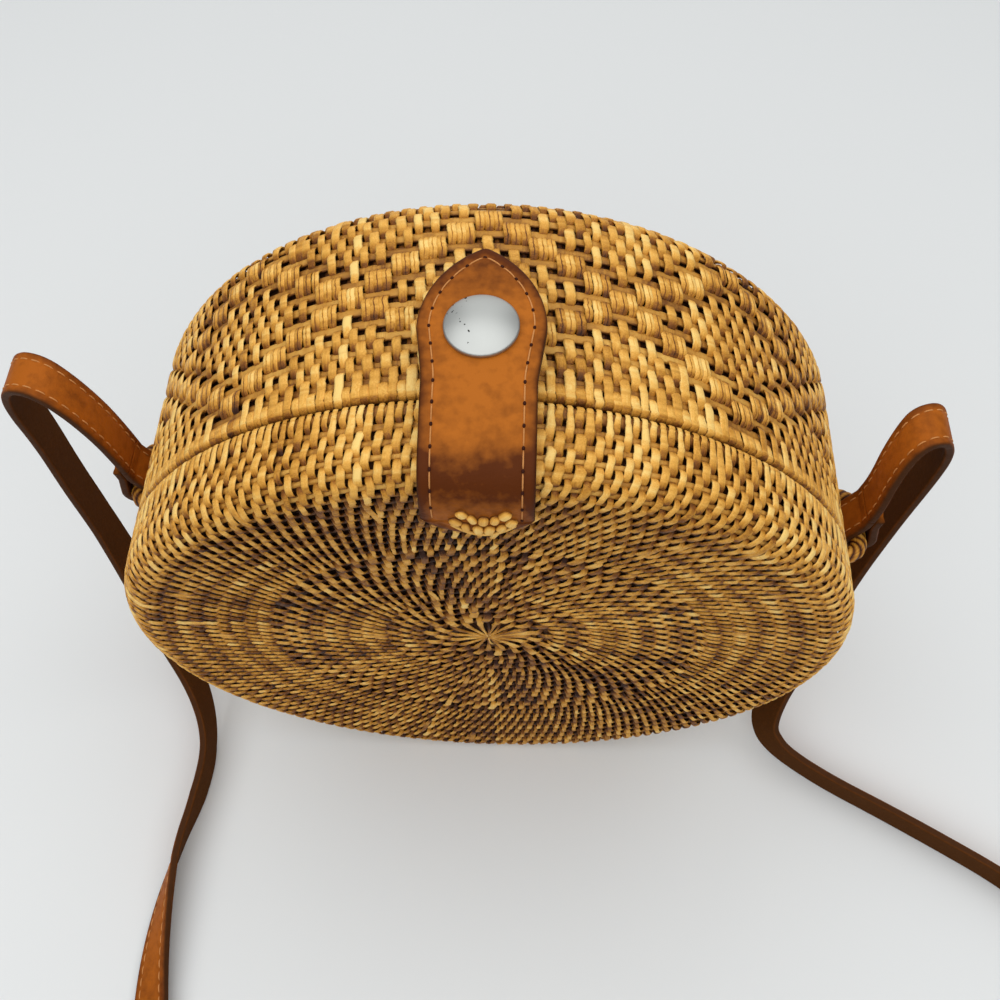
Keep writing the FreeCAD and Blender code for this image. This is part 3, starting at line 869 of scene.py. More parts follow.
@dataclass
class WovenHalf:
    """One half of the bag: rods laid in rings, and splints that pass over and under them.

    A tone or stray is a mean, its spread from strip to strip and its spread along a strip. A wave
    of the rods is a size and a number of turns. The blocks' counts are splints and rods.
    """

    section: Section
    label: str
    body: str
    sectors: int
    blocks: bool
    seed: int
    rod_seed: int = 9
    rim_pitch: float = 3.9
    face_pitch: float = 3.4
    hub: float = 9.0
    spoke_share: float = 0.55
    middle_gap: float = 0.4
    lip: float = 0.72
    mouth_gap: float = 0.15
    mouth_width: float = 3.6
    mouth_margin: float = 0.1
    mouth_inset: float = 1.9
    mouth_half_thick: float = 1.25
    mouth_narrow: float = 0.06
    rod_inset: float = 1.66
    rod_half_thick: float = 0.52
    rod_share: float = 0.26
    rod_steps: int = 180
    rod_sides: int = 8
    rod_waves: tuple[Pair, ...] = ((0.10, 5.0), (0.07, 11.0))
    rod_tone: Point = (0.70, 0.09, 0.05)
    # Painted shade on the rods: how much darker their inner side is, and a darkening all round.
    rod_sink: Pair = (0.75, 0.20)
    over_inset: float = 0.35
    under_inset: float = 2.35
    splint_half_thick: float = 0.30
    splint_tone: Point = (0.77, 0.12, 0.05)
    splint_profile: tuple[Pair, ...] = ((-0.98, 0.0), (-0.62, 0.85), (0.62, 0.85), (0.98, 0.0), (0.7, -0.9),
                                        (-0.7, -0.9))
    cut_edge: Pair = (0.62, 0.36)
    width_shares: Pair = (0.66, 0.50)
    width_spread: float = 0.10
    widest_half: float = 1.24
    least_pitch: float = 1.1
    least_radius: float = 1.2
    rim_narrow: float = 0.0
    sway: float = 0.24
    stray: Point = (0.0, 0.10, 0.05)
    lift: float = 0.07
    float_chance: float = 0.012
    shares: tuple[float, ...] = (0.0, 0.13, 0.30, 0.50, 0.70, 0.87)
    crest_power: float = 4.0
    # Painted shade: how fast a strip darkens after and before each rod; the faster side faces away from the
    # overhead light.
    shade_powers: Pair = (1.3, 2.4)
    # Painted shade: the face and its rods are painted darker, because the face turns away from the overhead
    # light.
    face_tone: float = -0.22
    face_rod_tone: float = -0.46
    face_narrow: float = 0.23
    face_sway: float = 0.20
    band_tone: float = 0.12
    band_pitch: float = 9.5
    shell_rows: int = 60
    shell_steps: int = 120
    shell_tone: float = 0.5
    core_outer: float = 2.7
    core_inner: float = 3.5
    core_setback: float = 0.6
    lining_outer: float = 3.8
    lining_inner: float = 4.6
    lining_setback: float = 5.0
    block_columns: int = 10
    block_width: int = 3
    block_first: int = 2
    block_last: int = 12
    zones: tuple[Zone, ...] = (Zone(300, 58.0, 200.0), Zone(150, 29.0, 58.0), Zone(76, 16.5, 29.0),
                               Zone(30, 0.0, 16.5))
    rods: Array = field(init=False)
    gaps: Array = field(init=False)

    def __post_init__(self) -> None:
        """Space the rods: evenly over the face, and evenly over the edge and rim to the mouth."""
        section = self.section
        last = section.length - self.mouth_width / 2
        bend = section.face_length
        on_rim = round((last - bend) / self.rim_pitch)
        on_face = round((bend - self.hub) / self.face_pitch)
        rim = np.linspace(last, bend, on_rim + 1)
        face = np.linspace(bend, self.hub, on_face + 1)[1:]
        self.rods = np.concatenate([rim, face])[::-1]
        self.gaps = np.gradient(self.rods)

    def draft(self, zone: Zone, rods: Array, random: np.random.Generator) -> tuple[Array, Array]:
        """Which splint goes over which rod.

        The ground is plain weave, over where the two counts add up to an even number. On the back's
        rim, blocks of three splints step along crossing diagonals, one rod to a block, and go under
        the rods beside. A few splints float over two rods, and all of them wrap over the mouth's rod.

        Args:
            zone: the ring of splints.
            rods: rod numbers, counted from the mouth.
            random: source of the floats.

        Returns:
            Ones where a splint goes over, and ones where it is part of a block, of shape (splints, rods).
        """
        splint = np.arange(zone.count)[:, None]
        over = (splint + rods) % 2 == 0
        blocks = np.zeros(over.shape, dtype=bool)
        over |= random.random(over.shape) < self.float_chance
        if self.blocks and zone is self.zones[0]:
            column = (splint + self.block_width // 2) // self.block_width

            def block(rod: Array) -> Array:
                """Whether a block covers a rod."""
                step = rod - self.block_first
                rising = (column - step) % self.block_columns == 0
                falling = (column + step) % self.block_columns == 0
                return (rising | falling) & (rod >= self.block_first) & (rod <= self.block_last)

            beside = block(rods - 1) | block(rods + 1)
            blocks = block(rods)
            over = np.where(blocks, True, np.where(beside, False, over))
        return (over | (rods == 0)).astype(float), blocks.astype(float)

    @staticmethod
    def eased(at_rods: Array, fall: Array, rise: Array) -> Array:
        """Values at all stations between the rods, at most one where both rods give theirs.

        A rod's own value counts with the share fall after it and the share rise before it.

        Args:
            at_rods: each splint's values at the rods.
            fall: share of the rod behind, at the stations between two rods.
            rise: share of the rod ahead.

        Returns:
            Values of shape (splints, stations).
        """
        here, ahead = at_rods[:, :-1, None], at_rods[:, 1:, None]
        between = here * fall + ahead * rise - here * ahead * (fall + rise - 1)
        return np.concatenate([between.reshape(len(at_rods), -1), at_rods[:, -1:]], axis=1)

    def splints(self, zone: Zone, number: int) -> tuple[Array, dict[str, Array]]:
        """Splints of one zone.

        A crest stays up as 1 - t^4 from its rod towards the next, so a splint shows over most of the
        way and dives steeply. It sways sideways by a half sine where it changes sides, and is wider
        on the crests. It is painted darker towards its ends as shade, sooner on the side away from the
        overhead light. The face is painted darker as the shade of a side turned from that light, with
        paler and darker bands along a spiral, and its middle is a star of bare spokes.

        Args:
            zone: the ring of splints.
            number: the zone's place in the list, which seeds its chances.

        Returns:
            Points of shape (splints, stations, 6, 3), and their attributes.
        """
        random = self.chances(number)
        section, outermost, innermost = self.section, number == 0, number == len(self.zones) - 1
        radius = section.outline(self.rods)[0]
        in_zone = (radius >= zone.inner) & (radius < zone.outer)
        chosen = np.flatnonzero(np.where(self.rods < section.face_length, in_zone, outermost))
        rods = self.rods[chosen]
        over, blocks = self.draft(zone, len(self.rods) - 1 - chosen, random)
        end = section.length - self.mouth_gap if outermost else rods[-1] + self.gaps[chosen[-1]]
        first = self.middle_gap if innermost else rods[0] - self.gaps[chosen[0]]
        stations = np.concatenate([[first], rods, [end]])
        closed = np.zeros((zone.count, 1))
        over = np.concatenate([closed + innermost, over, closed + self.lip * outermost], axis=1)
        blocks = np.concatenate([closed, blocks, closed], axis=1)
        share = np.array(self.shares)
        s = (stations[:-1, None] + np.diff(stations)[:, None] * share).ravel()
        s = np.append(s, stations[-1])
        height = self.eased(over, 1 - share ** self.crest_power, 1 - (1 - share) ** self.crest_power)
        # Painted shade along each strip: light is 1 on a crest and falls towards the rods, sooner on the
        # side away from the overhead light.
        after, before = self.shade_powers
        light = self.eased(over, 1 - share ** after, 1 - (1 - share) ** before)
        change = np.diff(over, axis=1)[..., None]
        on_face = np.clip((section.face_length + section.edge_radius - s) / section.edge_radius, 0, 1)
        sway = (-change * np.sin(np.pi * share)).reshape(zone.count, -1)
        sway = np.concatenate([sway, closed], axis=1) * (self.sway + self.face_sway * on_face)
        away = np.maximum(section.outline(s)[0], self.least_radius)
        pitch = 2 * np.pi * away / zone.count
        least, gain = self.width_shares
        wide = random.normal(1.0, self.width_spread, (zone.count, 1)) * (least + gain * height)
        wide *= 1 - (self.rim_narrow + (self.face_narrow - self.rim_narrow) * on_face)
        if outermost:
            wide *= 1 - self.mouth_narrow * np.clip((s - rods[-2]) / (rods[-1] - rods[-2]), 0, 1)
        if innermost:
            wide *= np.interp(s, [rods[0] / 2, rods[0]], [self.spoke_share, 1.0])
        half = np.minimum(0.5 * np.maximum(pitch, self.least_pitch) * wide, self.widest_half)
        start = 2 * np.pi * np.arange(zone.count)[:, None] / zone.count
        angle = start + (sway + self.scatter(random, self.stray, (zone.count, len(s)))) / away
        lift = np.abs(random.normal(0, self.lift, (zone.count, 1)))
        inset = self.under_inset + (self.over_inset - self.under_inset) * height + lift
        across, above = np.array(self.splint_profile).T
        turned = angle[..., None] + across * (half / away)[..., None]
        points = section.at(s[:, None], inset[..., None] - above * self.splint_half_thick, turned)
        tone = self.scatter(random, self.splint_tone, (zone.count, len(s)))
        band = np.sin(2 * np.pi * away / self.band_pitch + start)
        # The face is painted darker as shade; the spiral bands are the cane's own.
        tone += on_face * (self.face_tone + self.band_tone * band)
        edge, width = self.cut_edge
        values = {"tone": tone[..., None], "sink": 1 - light[..., None], "along": s[:, None],
                  "rim": np.clip((np.abs(across) - edge) / width, 0, 1), "across": across * half[..., None],
                  "split": self.eased(blocks, 1 - share, share)[..., None]}
        return points, values

    def chances(self, number: int) -> np.random.Generator:
        """Seeded source of chance for one zone, or for the rods."""
        return np.random.default_rng(SEED * 100 + self.seed * 10 + number)

    @staticmethod
    def scatter(random: np.random.Generator, amounts: Point, shape: tuple[int, ...]) -> Array:
        """A mean, with a chance value for each strip and one for each place along it.

        Args:
            random: the source of chance.
            amounts: the mean, the spread from strip to strip and the one along a strip.
            shape: shape of the result, with the strips first.

        Returns:
            Values of that shape.
        """
        mean, each, local = amounts
        strips = (shape[0],) + (1,) * (len(shape) - 1)
        return random.normal(mean, each, strips) + random.normal(0, local, shape)

    def build_splints(self, finish: bpy.types.Material) -> None:
        """Make the splints: the outer zone in sectors, and the inner zones one by one.

        Args:
            finish: the splints' material.
        """
        for number, zone in enumerate(self.zones):
            points, values = self.splints(zone, number)
            parts = np.array_split(np.arange(zone.count), self.sectors if number == 0 else 1)
            for part, members in enumerate(parts):
                name = f"{self.label}_splints_{number + 1}{'abcdef'[part]}"
                shares = {key: value[members] if value.shape[0] == zone.count else value
                          for key, value in values.items()}
                piece = tube_mesh(name, points[members], shares)
                dress(piece, finish, self.body)

    def build_rods(self, finish: bpy.types.Material) -> None:
        """Make the rods: flattened round rings, a little uneven, and the thicker rod of the mouth.

        A ring's profile is an ellipse along the section and into the wall, and the ring wanders by
        a slow sum of two sines.

        Args:
            finish: the rods' material.
        """
        random = self.chances(self.rod_seed)
        count = len(self.rods)
        column = (slice(None), None, None)
        turn, spin = circle(self.rod_steps)[:, None], circle(self.rod_sides)
        phase = random.uniform(0, 2 * np.pi, (count, 1, 1, len(self.rod_waves)))
        waves = enumerate(self.rod_waves)
        wander = sum(size * np.sin(turns * turn + phase[..., k]) for k, (size, turns) in waves)
        at_mouth = (np.arange(count) == count - 1)[column]
        mouth_half = self.mouth_width / 2 - self.mouth_margin
        half = np.where(at_mouth, mouth_half, self.rod_share * self.gaps[column])
        thick = np.where(at_mouth, self.mouth_half_thick, self.rod_half_thick)
        inset = np.where(at_mouth, self.mouth_inset, self.rod_inset)
        s = self.rods[column] + half * np.cos(spin) + wander * ~at_mouth
        points = self.section.at(s, inset - thick * np.sin(spin), turn)
        tone = self.scatter(random, self.rod_tone, (count, self.rod_steps, 1))
        # Rods on the face are painted darker, as the face's shade.
        tone += (self.rods < self.section.face_length)[column] * self.face_rod_tone
        # Painted shade: a rod is darker on its inner side, where the splints shade it, and a little darker
        # all round.
        slope, least = self.rod_sink
        sink = slope * (1 - np.clip(np.sin(spin), 0, 1)) ** 2 + least
        values = {"tone": tone, "sink": sink, "along": self.rods[column] * turn, "across": np.sin(spin)}
        body = tube_mesh(f"{self.label}_rods", points[:-1], cut(values, slice(0, count - 1)), ring=True)
        dress(body, finish, self.body)
        mouth = tube_mesh(f"{self.label}_mouth_binding", points[-1:], cut(values, slice(count - 1, count)),
                          ring=True)
        dress(mouth, finish, self.body, (f"{self.label}_mouth_rod",))

    def build_shell(self, name: str, outer: float, inner: float, setback: float) -> bpy.types.Object:
        """Make a closed skin of revolution between two insets, from the face's middle to the mouth.

        Its profile goes out along the section at one inset and back at the other.

        Args:
            name: the piece's name.
            outer: inset of its outer side.
            inner: inset of its inner side.
            setback: how far it ends short of the mouth.

        Returns:
            The piece, not yet dressed.
        """
        s = np.linspace(0.0, self.section.length - setback, self.shell_rows)
        path = there_and_back(s, s)
        inset = np.repeat([outer, inner], self.shell_rows)
        turn = circle(self.shell_steps)[:, None]
        points = self.section.at(path, inset, turn)[None]
        values = {"tone": np.array(self.shell_tone), "sink": np.array(0.0), "along": path,
                  "across": turn * self.section.radius}
        return tube_mesh(name, points, values, ring=True, weld=True)

    def build(self, finishes: Finishes) -> None:
        """Make the weave, its inner layer and the lining.

        Args:
            finishes: the bag's materials.
        """
        # The inner layer gets the painted shade finish.
        core = self.build_shell(f"{self.label}_inner_weave", self.core_outer, self.core_inner,
                                self.core_setback)
        dress(core, finishes.core, self.body, (f"{self.label}_shell",))
        self.build_rods(finishes.rod)
        self.build_splints(finishes.splint)
        lining = self.build_shell(f"{self.label}_cotton_lining", self.lining_outer, self.lining_inner,
                                  self.lining_setback)
        dress(lining, finishes.cotton, self.body, (f"{self.label}_lining",))


def cut(values: dict[str, Array], rows: slice) -> dict[str, Array]:
    """Attributes of some copies: what differs from copy to copy is cut, and the rest is kept."""
    return {key: value[rows] if np.ndim(value) == 3 else np.asarray(value) for key, value in values.items()}


def edge_fall(distance: Array, round_off: float) -> Array:
    """Fall of a rounded edge at a distance inside it: a quarter circle of radius round_off."""
    inside = round_off - np.minimum(distance, round_off)
    return round_off - np.sqrt(round_off ** 2 - inside ** 2)


def groove(distance: Array, place: float, depth: float, width: float) -> Array:
    """Fall of a sewn groove at a distance from the edge: depth * exp(-(d / width)^2)."""
    return depth * np.exp(-((distance - place) / width) ** 2)


@dataclass
class SnapTab:
    """The leather tab: two sewn layers from the lid's face, over its edge, to a pointed tip."""

    sizes: BagSizes
    front_gap: float = 0.3
    edge_radius: float = 7.5
    crown_radius: float = 20.0
    flat_reach: float = 9.5
    shoulder_reach: float = 0.5
    tip_radius: float = 2.5
    root_sag: float = 5.4
    root_drop: float = 1.0
    line_step: float = 0.25
    row_step: float = 0.9
    end_rows: int = 16
    blunt: float = 6.0
    columns: int = 61
    steepest: float = 8.0
    least_half: float = 0.05
    stitch_inset: float = 2.5
    least_inner: float = 0.25
    round_off: float = 0.55
    rim_width: float = 1.3
    margin_fall: float = 0.25
    groove_depth: float = 0.22
    groove_width: float = 0.5
    # Painted shade: a dark band just past the crease, where the tab turns from the light, and a darker root
    # below the crease; the tip and margins are painted darker too.
    shade_place: float = 6.5
    shade_width: float = 4.2
    bend_shade: float = 0.95
    root_shade: float = 0.34
    root_fade: float = 1.5
    tip_darkening: float = 0.60
    margin_worn: float = 0.5
    fold_reach: Pair = (-0.5, 6.0)
    thread: Thread = Thread(pitch=4.2, length=4.1, radius=0.17, lift=0.14)
    needle: Thread = Thread(pitch=4.2, length=0.8, radius=0.31, lift=0.08, phase=0.0)

    def __post_init__(self) -> None:
        """Read the tab's sizes from its solids."""
        root_low, root_high = self.sizes.box("tab_root")
        low, high = self.sizes.box("tab_outer")
        self.waist = root_high[0] - root_low[0]
        self.width = high[0] - low[0]
        self.root_low, self.crease = root_low[2] - self.root_drop, root_high[2]
        self.front, self.under_y = root_low[1], root_high[1]
        self.thickness = root_high[1] - root_low[1]
        self.under = high[2] - self.thickness
        self.split = self.sizes.box("tab_inner")[1][2] - self.under
        self.tip = high[1]

    def line(self) -> Array:
        """Underside of the tab from the root's lower end to its tip.

        It runs up the lid's face, round the lid's edge, straight on at a slope, over a wide bend
        and level to the tip; the slope is the one that touches both bends.

        Returns:
            Rows of length so far, depth, height and heading.
        """
        first = self.edge_radius + self.front_gap
        flat_start = self.sizes.snap_y - self.flat_reach
        across = flat_start - (self.under_y + first)
        rise = self.under - self.crown_radius - self.crease
        reach = np.hypot(across, rise)
        slope = np.arccos((first - self.crown_radius) / reach) - np.arctan2(across, rise)
        straight = np.sqrt(reach ** 2 - (self.crown_radius - first) ** 2)
        runs = [(self.crease - self.root_low, 0.0), (first * (np.pi / 2 - slope), slope - np.pi / 2),
                (straight, 0.0), (self.crown_radius * slope, -slope), (self.tip - flat_start, 0.0)]
        along, places, headings = run_path((self.under_y, self.root_low), np.pi / 2, runs, self.line_step)
        return np.concatenate([along[:, None], places, headings[:, None]], axis=1)

    def half_width(self, along: Array, depth: Array) -> Array:
        """Half the tab's width at a length along it.

        The root's lower end is a shallow arc. Then come a straight waist, sides that widen evenly
        from the seam to the shoulder, two arcs that lean together and a small round tip.

        Args:
            along: lengths from the root's lower end.
            depth: the line's depths at them.

        Returns:
            Half-widths in millimetres.
        """
        waist, half = self.waist / 2, self.width / 2
        shoulder = self.sizes.snap_y + self.shoulder_reach
        rise = self.tip - self.tip_radius - shoulder
        ogive = (half ** 2 + rise ** 2 - self.tip_radius ** 2) / (2 * (half - self.tip_radius))
        past = np.clip(depth - shoulder, 0, rise + self.tip_radius)
        sides = half - ogive + np.sqrt(ogive ** 2 - past ** 2)
        nose = np.sqrt(np.maximum(self.tip_radius ** 2 - (depth - self.tip + self.tip_radius) ** 2, 0))
        lean = np.arctan2(rise, ogive - half)
        tip_start = shoulder + ogive * np.sin(lean)
        bow = (waist ** 2 + self.root_sag ** 2) / (2 * self.root_sag)
        end = np.sqrt(bow ** 2 - (bow - np.minimum(along, self.root_sag)) ** 2)
        end = np.where(along < self.root_sag, end, half)
        widening = np.interp(depth, [self.sizes.seam, shoulder], [waist, half])
        width = np.where(depth > tip_start, nose, np.where(depth > shoulder, sides, widening))
        return np.maximum(np.minimum(width, end), self.least_half)

    def stations(self) -> Array:
        """Lengths of the rows, close together at the two round ends.

        Returns:
            Lengths in rising order.
        """
        total, sag = self.line()[-1, 0], self.root_sag
        turn = np.linspace(0, np.pi / 2, self.end_rows)
        root, middle = sag * (1 - np.cos(turn)), np.arange(sag, total - self.blunt, self.row_step)
        return np.unique(np.concatenate([root, middle, total - self.blunt * (1 - np.sin(turn))]))

    def sides(self) -> tuple[Array, Array, Array, Array]:
        """Rows of the tab, from the root's lower end to the tip.

        A side's slope is the change of the half-width with length, held within the steepest one.

        Returns:
            Lengths, the line there, half-widths and slopes.
        """
        along = self.stations()
        line = along_line(self.line(), along)
        half = self.half_width(along, line[:, 0])
        return along, line, half, np.clip(np.gradient(half, along), -self.steepest, self.steepest)

    def outside(self, line: Array, across: Array, above: Array) -> Array:
        """Points at a distance across the middle and above the underside.

        A point is moved from the line along its normal (-sin heading, cos heading).

        Args:
            line: depths, heights and headings of the underside's middle line.
            across: distances from the middle.
            above: distances above the underside.

        Returns:
            Points in millimetres.
        """
        heading = line[..., 2]
        depth = line[..., 0] - above * np.sin(heading)
        height = line[..., 1] + above * np.cos(heading)
        return points_of(across, depth, height)

    def layer(self, name: str, low: float, high: float, sewn: bool) -> bpy.types.Object:
        """Make one leather layer between two distances above the underside.

        The edge is rounded by its distance (h - |x|) / sqrt(1 + h'^2), the sewn layer also sinks
        along its seam, and the margin outside the seam slopes a little to the edge.

        Args:
            name: the piece's name.
            low: distance of its lower face.
            high: distance of its upper face.
            sewn: whether it is the upper layer, which carries the seam.

        Returns:
            The piece, not yet dressed.
        """
        along, line, half, slope = self.sides()
        across = half[:, None] * np.sin(np.linspace(-np.pi / 2, np.pi / 2, self.columns))
        edge = (half[:, None] - np.abs(across)) / np.sqrt(1 + slope[:, None] ** 2)
        top, bottom = np.full(edge.shape, high), np.full(edge.shape, low)
        margin = np.clip(1 - edge / self.stitch_inset, 0, 1)
        if sewn:
            top -= edge_fall(edge, self.round_off) + self.margin_fall * margin ** 2
            top -= groove(edge, self.stitch_inset, self.groove_depth, self.groove_width)
        else:
            bottom += edge_fall(edge, self.round_off)
        points = self.outside(line[:, None], there_and_back(across, across), there_and_back(top, bottom))
        # Painted shade at the bend and below the crease, with a plain darkening at the tip and margins.
        past = along - (self.crease - self.root_low) - self.shade_place
        bend = self.bend_shade * np.exp(-(past / self.shade_width) ** 2)
        bend += self.root_shade / (1 + np.exp(past / self.root_fade))
        tip = np.clip((line[:, 0] - self.sizes.snap_y) / (self.tip - self.sizes.snap_y), 0, 1)
        worn = (bend + self.tip_darkening * tip)[:, None] + self.margin_worn * np.sqrt(margin)
        ring = np.clip(1 - edge / self.rim_width, 0, 1)
        flesh = there_and_back(np.zeros(edge.shape), np.full(edge.shape, 0.0 if sewn else 1.0))
        values = {"edge": there_and_back(ring, ring)[None], "worn": there_and_back(worn, worn)[None],
                  "flesh": flesh[None]}
        return tube_mesh(name, points[None], values)

    def seam(self) -> tuple[Array, Array]:
        """Middle of the stitching and the outward direction there, once round from one side to the other.

        The seam is the outline moved inwards along its own normal by the stitch inset.

        Returns:
            Points and unit directions.
        """
        along, _, half, slope = self.sides()
        length = np.sqrt(1 + slope ** 2)
        place = along + self.stitch_inset * slope / length
        inner = half - self.stitch_inset / length
        keep = (inner > self.least_inner) & (along > self.root_sag)
        place, inner = place[keep], inner[keep]
        place, inner = there_and_back(place, place), there_and_back(inner, -inner)
        at = along_line(self.line(), place)
        above = self.thickness - self.groove_depth
        points = self.outside(at, inner, np.full(len(place), above))
        normal = np.stack([np.zeros(len(place)), -np.sin(at[:, 2]), np.cos(at[:, 2])], -1)
        return points, normal

    def build(self, finishes: Finishes) -> None:
        """Make the two layers and the stitching; all bend at the crease.

        Args:
            finishes: the bag's materials.
        """
        ends = [(0.0, self.front * MM, (self.crease + reach) * MM) for reach in self.fold_reach]
        fold = Fold("front", "tab", *ends)
        outer = self.layer("tab_top_leather", self.split, self.thickness, sewn=True)
        dress(outer, finishes.tab, fold, ("tab_outer", "tab_root"))
        backing = self.layer("tab_under_leather", 0.0, self.split, sewn=False)
        dress(backing, finishes.tab, fold, ("tab_inner",))
        path, normal = self.seam()
        thread = tube_mesh("tab_stitching", self.thread.points(path, normal), {})
        dress(thread, finishes.thread, fold)
        # Dark marks between the stitches stand in for the shade inside the needle holes.
        holes = tube_mesh("tab_needle_hole_shade", self.needle.points(path, normal), {})
        dress(holes, finishes.needle, fold)


@dataclass
class Crescent:
    """Woven crescent that holds the tab's root to the lid: two hanging rows of cane knots.

    A row is its number of knots, half its width, the height of its middle and how far its ends rise.
    """

    sizes: BagSizes
    rows: tuple[tuple[int, float, float, float], ...] = ((5, 4.2, 178.0, 2.4), (6, 5.6, 174.2, 3.2))
    seed_step: int = 3
    aside: float = 1.2
    knot_half: Point = (1.08, 0.85, 1.45)
    knot_spread: float = 0.07
    knot_steps: tuple[int, int] = (11, 16)
    knot_grain: float = 4.0
    pole: float = 0.999
    squareness: float = 0.75
    lean: float = 0.55
    lean_spread: float = 0.12
    stray: float = 0.15
    tone: Pair = (0.84, 0.07)
    sink_power: float = 1.5
    sunk: float = 0.1
    cord_drop: float = 1.9
    cord_radius: float = 0.35
    cord_reach: float = 1.12
    cord_front: float = 0.2
    cord_steps: tuple[int, int] = (40, 8)
    cord_tone: float = 0.8
    cord_grain: float = 9.0

    def build(self, finishes: Finishes) -> None:
        """Make the knots and the thin strip below them.

        Args:
            finishes: the bag's materials.
        """
        front = self.sizes.box("tab_root")[0][1]
        self.build_knots(finishes.splint, front)
        self.build_strip(finishes.splint, front)

    def build_knots(self, finish: bpy.types.Material, front: float) -> None:
        """Make the knots on the tab's front.

        A row hangs as z = middle + sag * t^2. A knot is a pillow: at a share t of its height its
        half-width is that of the middle times (1 - t^4)^0.5.

        Args:
            finish: the knots' material.
            front: depth at which the face of the tab's root stands.
        """
        random = np.random.default_rng(SEED + self.seed_step)
        share = np.concatenate([np.linspace(-1, 1, row[0]) for row in self.rows])
        rows = np.repeat([row[1:] for row in self.rows], [row[0] for row in self.rows], axis=0)
        reach, middle, sag = rows.T
        knot = (len(share), 1, 1)
        size = np.array(self.knot_half) * random.normal(1.0, self.knot_spread, (len(share), 3))
        wide, deep, high = (half.reshape(knot) for half in size.T)
        levels, sides = self.knot_steps
        level = np.sin(np.linspace(-np.pi / 2, np.pi / 2, levels))[:, None] * self.pole
        spin = circle(sides)
        girth = (1 - level ** 4) ** 0.5
        across = wide * girth * (np.sign(np.cos(spin)) * np.abs(np.cos(spin)) ** self.squareness)
        up = high * level
        turn = (self.lean * share).reshape(knot) + random.normal(0, self.lean_spread, knot)
        x = self.aside + (reach * share).reshape(knot) + across * np.cos(turn) + up * np.sin(turn)
        x = x + random.normal(0, self.stray, knot)
        z = (middle + sag * share ** 2).reshape(knot) - across * np.sin(turn) + up * np.cos(turn)
        points = points_of(x, front - self.sunk - deep * girth * np.sin(spin), z)
        # Painted shade: each knot darkens round its sides and back, away from its front.
        sink = (1 - girth * np.clip(np.sin(spin), 0, 1)) ** self.sink_power
        values = {"tone": random.normal(*self.tone, knot), "sink": sink, "along": self.knot_grain * level,
                  "across": spin}
        knots = tube_mesh("tab_crescent_knots", points, values)
        dress(knots, finish, "front", ("tab_anchor",))

    def build_strip(self, finish: bpy.types.Material, front: float) -> None:
        """Make the thin round strip that hangs below the lower row.

        A circle is carried along z = middle - drop + sag * t^2.

        Args:
            finish: the strip's material.
            front: depth at which the face of the tab's root stands.
        """
        _, reach, middle, sag = self.rows[-1]
        steps, sides = self.cord_steps
        share = np.linspace(-self.cord_reach, self.cord_reach, steps)
        height = middle - self.cord_drop + sag * share ** 2
        path = points_of(self.aside + reach * share, front - self.cord_front, height)
        away = np.array([0.0, -1.0, 0.0])
        side = unit(np.cross(np.gradient(path, axis=0), away))
        turn = circle(sides)[:, None]
        ring = side[:, None] * np.cos(turn) + away * np.sin(turn)
        values = {"tone": np.array(self.cord_tone), "sink": np.array(0.0), "across": turn[:, 0],
                  "along": share[None, :, None] * self.cord_grain}
        strip = tube_mesh("tab_crescent_strip", (path[:, None] + ring * self.cord_radius)[None], values)
        dress(strip, finish, "front")


@dataclass
class PressSnap:
    """Press snap: the domed cap on the tab, its socket, and the stud and rivet of the rim."""

    sizes: BagSizes
    rim_height: float = 0.9
    rim_round: float = 0.35
    shank_radius: float = 2.0
    dome_steps: int = 24
    round_steps: int = 6
    turns: int = 72

    def build(self, finishes: Finishes) -> None:
        """Turn the cap, and give the plain solids below it their metal.

        The cap's profile is a spherical dome down to the rim, a small round, a flat underside and
        the shank through the leather.

        Args:
            finishes: the bag's materials.
        """
        radius = self.sizes.cap_diameter / 2
        base, top = self.sizes.tab_top, self.sizes.cap_top - self.sizes.tab_top
        swell = top - self.rim_height
        dome = (radius ** 2 + swell ** 2) / (2 * swell)
        angle = np.linspace(0, np.arcsin(radius / dome), self.dome_steps)
        away = dome * np.sin(angle)
        above = top - dome * (1 - np.cos(angle))
        turn = np.linspace(0, -np.pi / 2, self.round_steps)[1:]
        away = np.concatenate([away, radius - self.rim_round + self.rim_round * np.cos(turn),
                               [self.shank_radius, self.shank_radius, 0.0]])
        shank = base - self.sizes.box("snap_cap")[0][2]
        edge = self.rim_round + self.rim_round * np.sin(turn)
        above = np.concatenate([above, edge, [0.0, -shank, -shank]])
        spin = circle(self.turns)[:, None]
        points = points_of(away * np.cos(spin), self.sizes.snap_y + away * np.sin(spin), base + above)
        cap = tube_mesh("snap_domed_cap", points[None], {}, ring=True, weld=True)
        dress(cap, finishes.nickel, "tab", ("snap_cap",))
        for node in ("snap_socket", "snap_stud", "snap_post"):
            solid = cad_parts[node]
            solid.data.materials.clear()
            solid.data.materials.append(finishes.nickel)


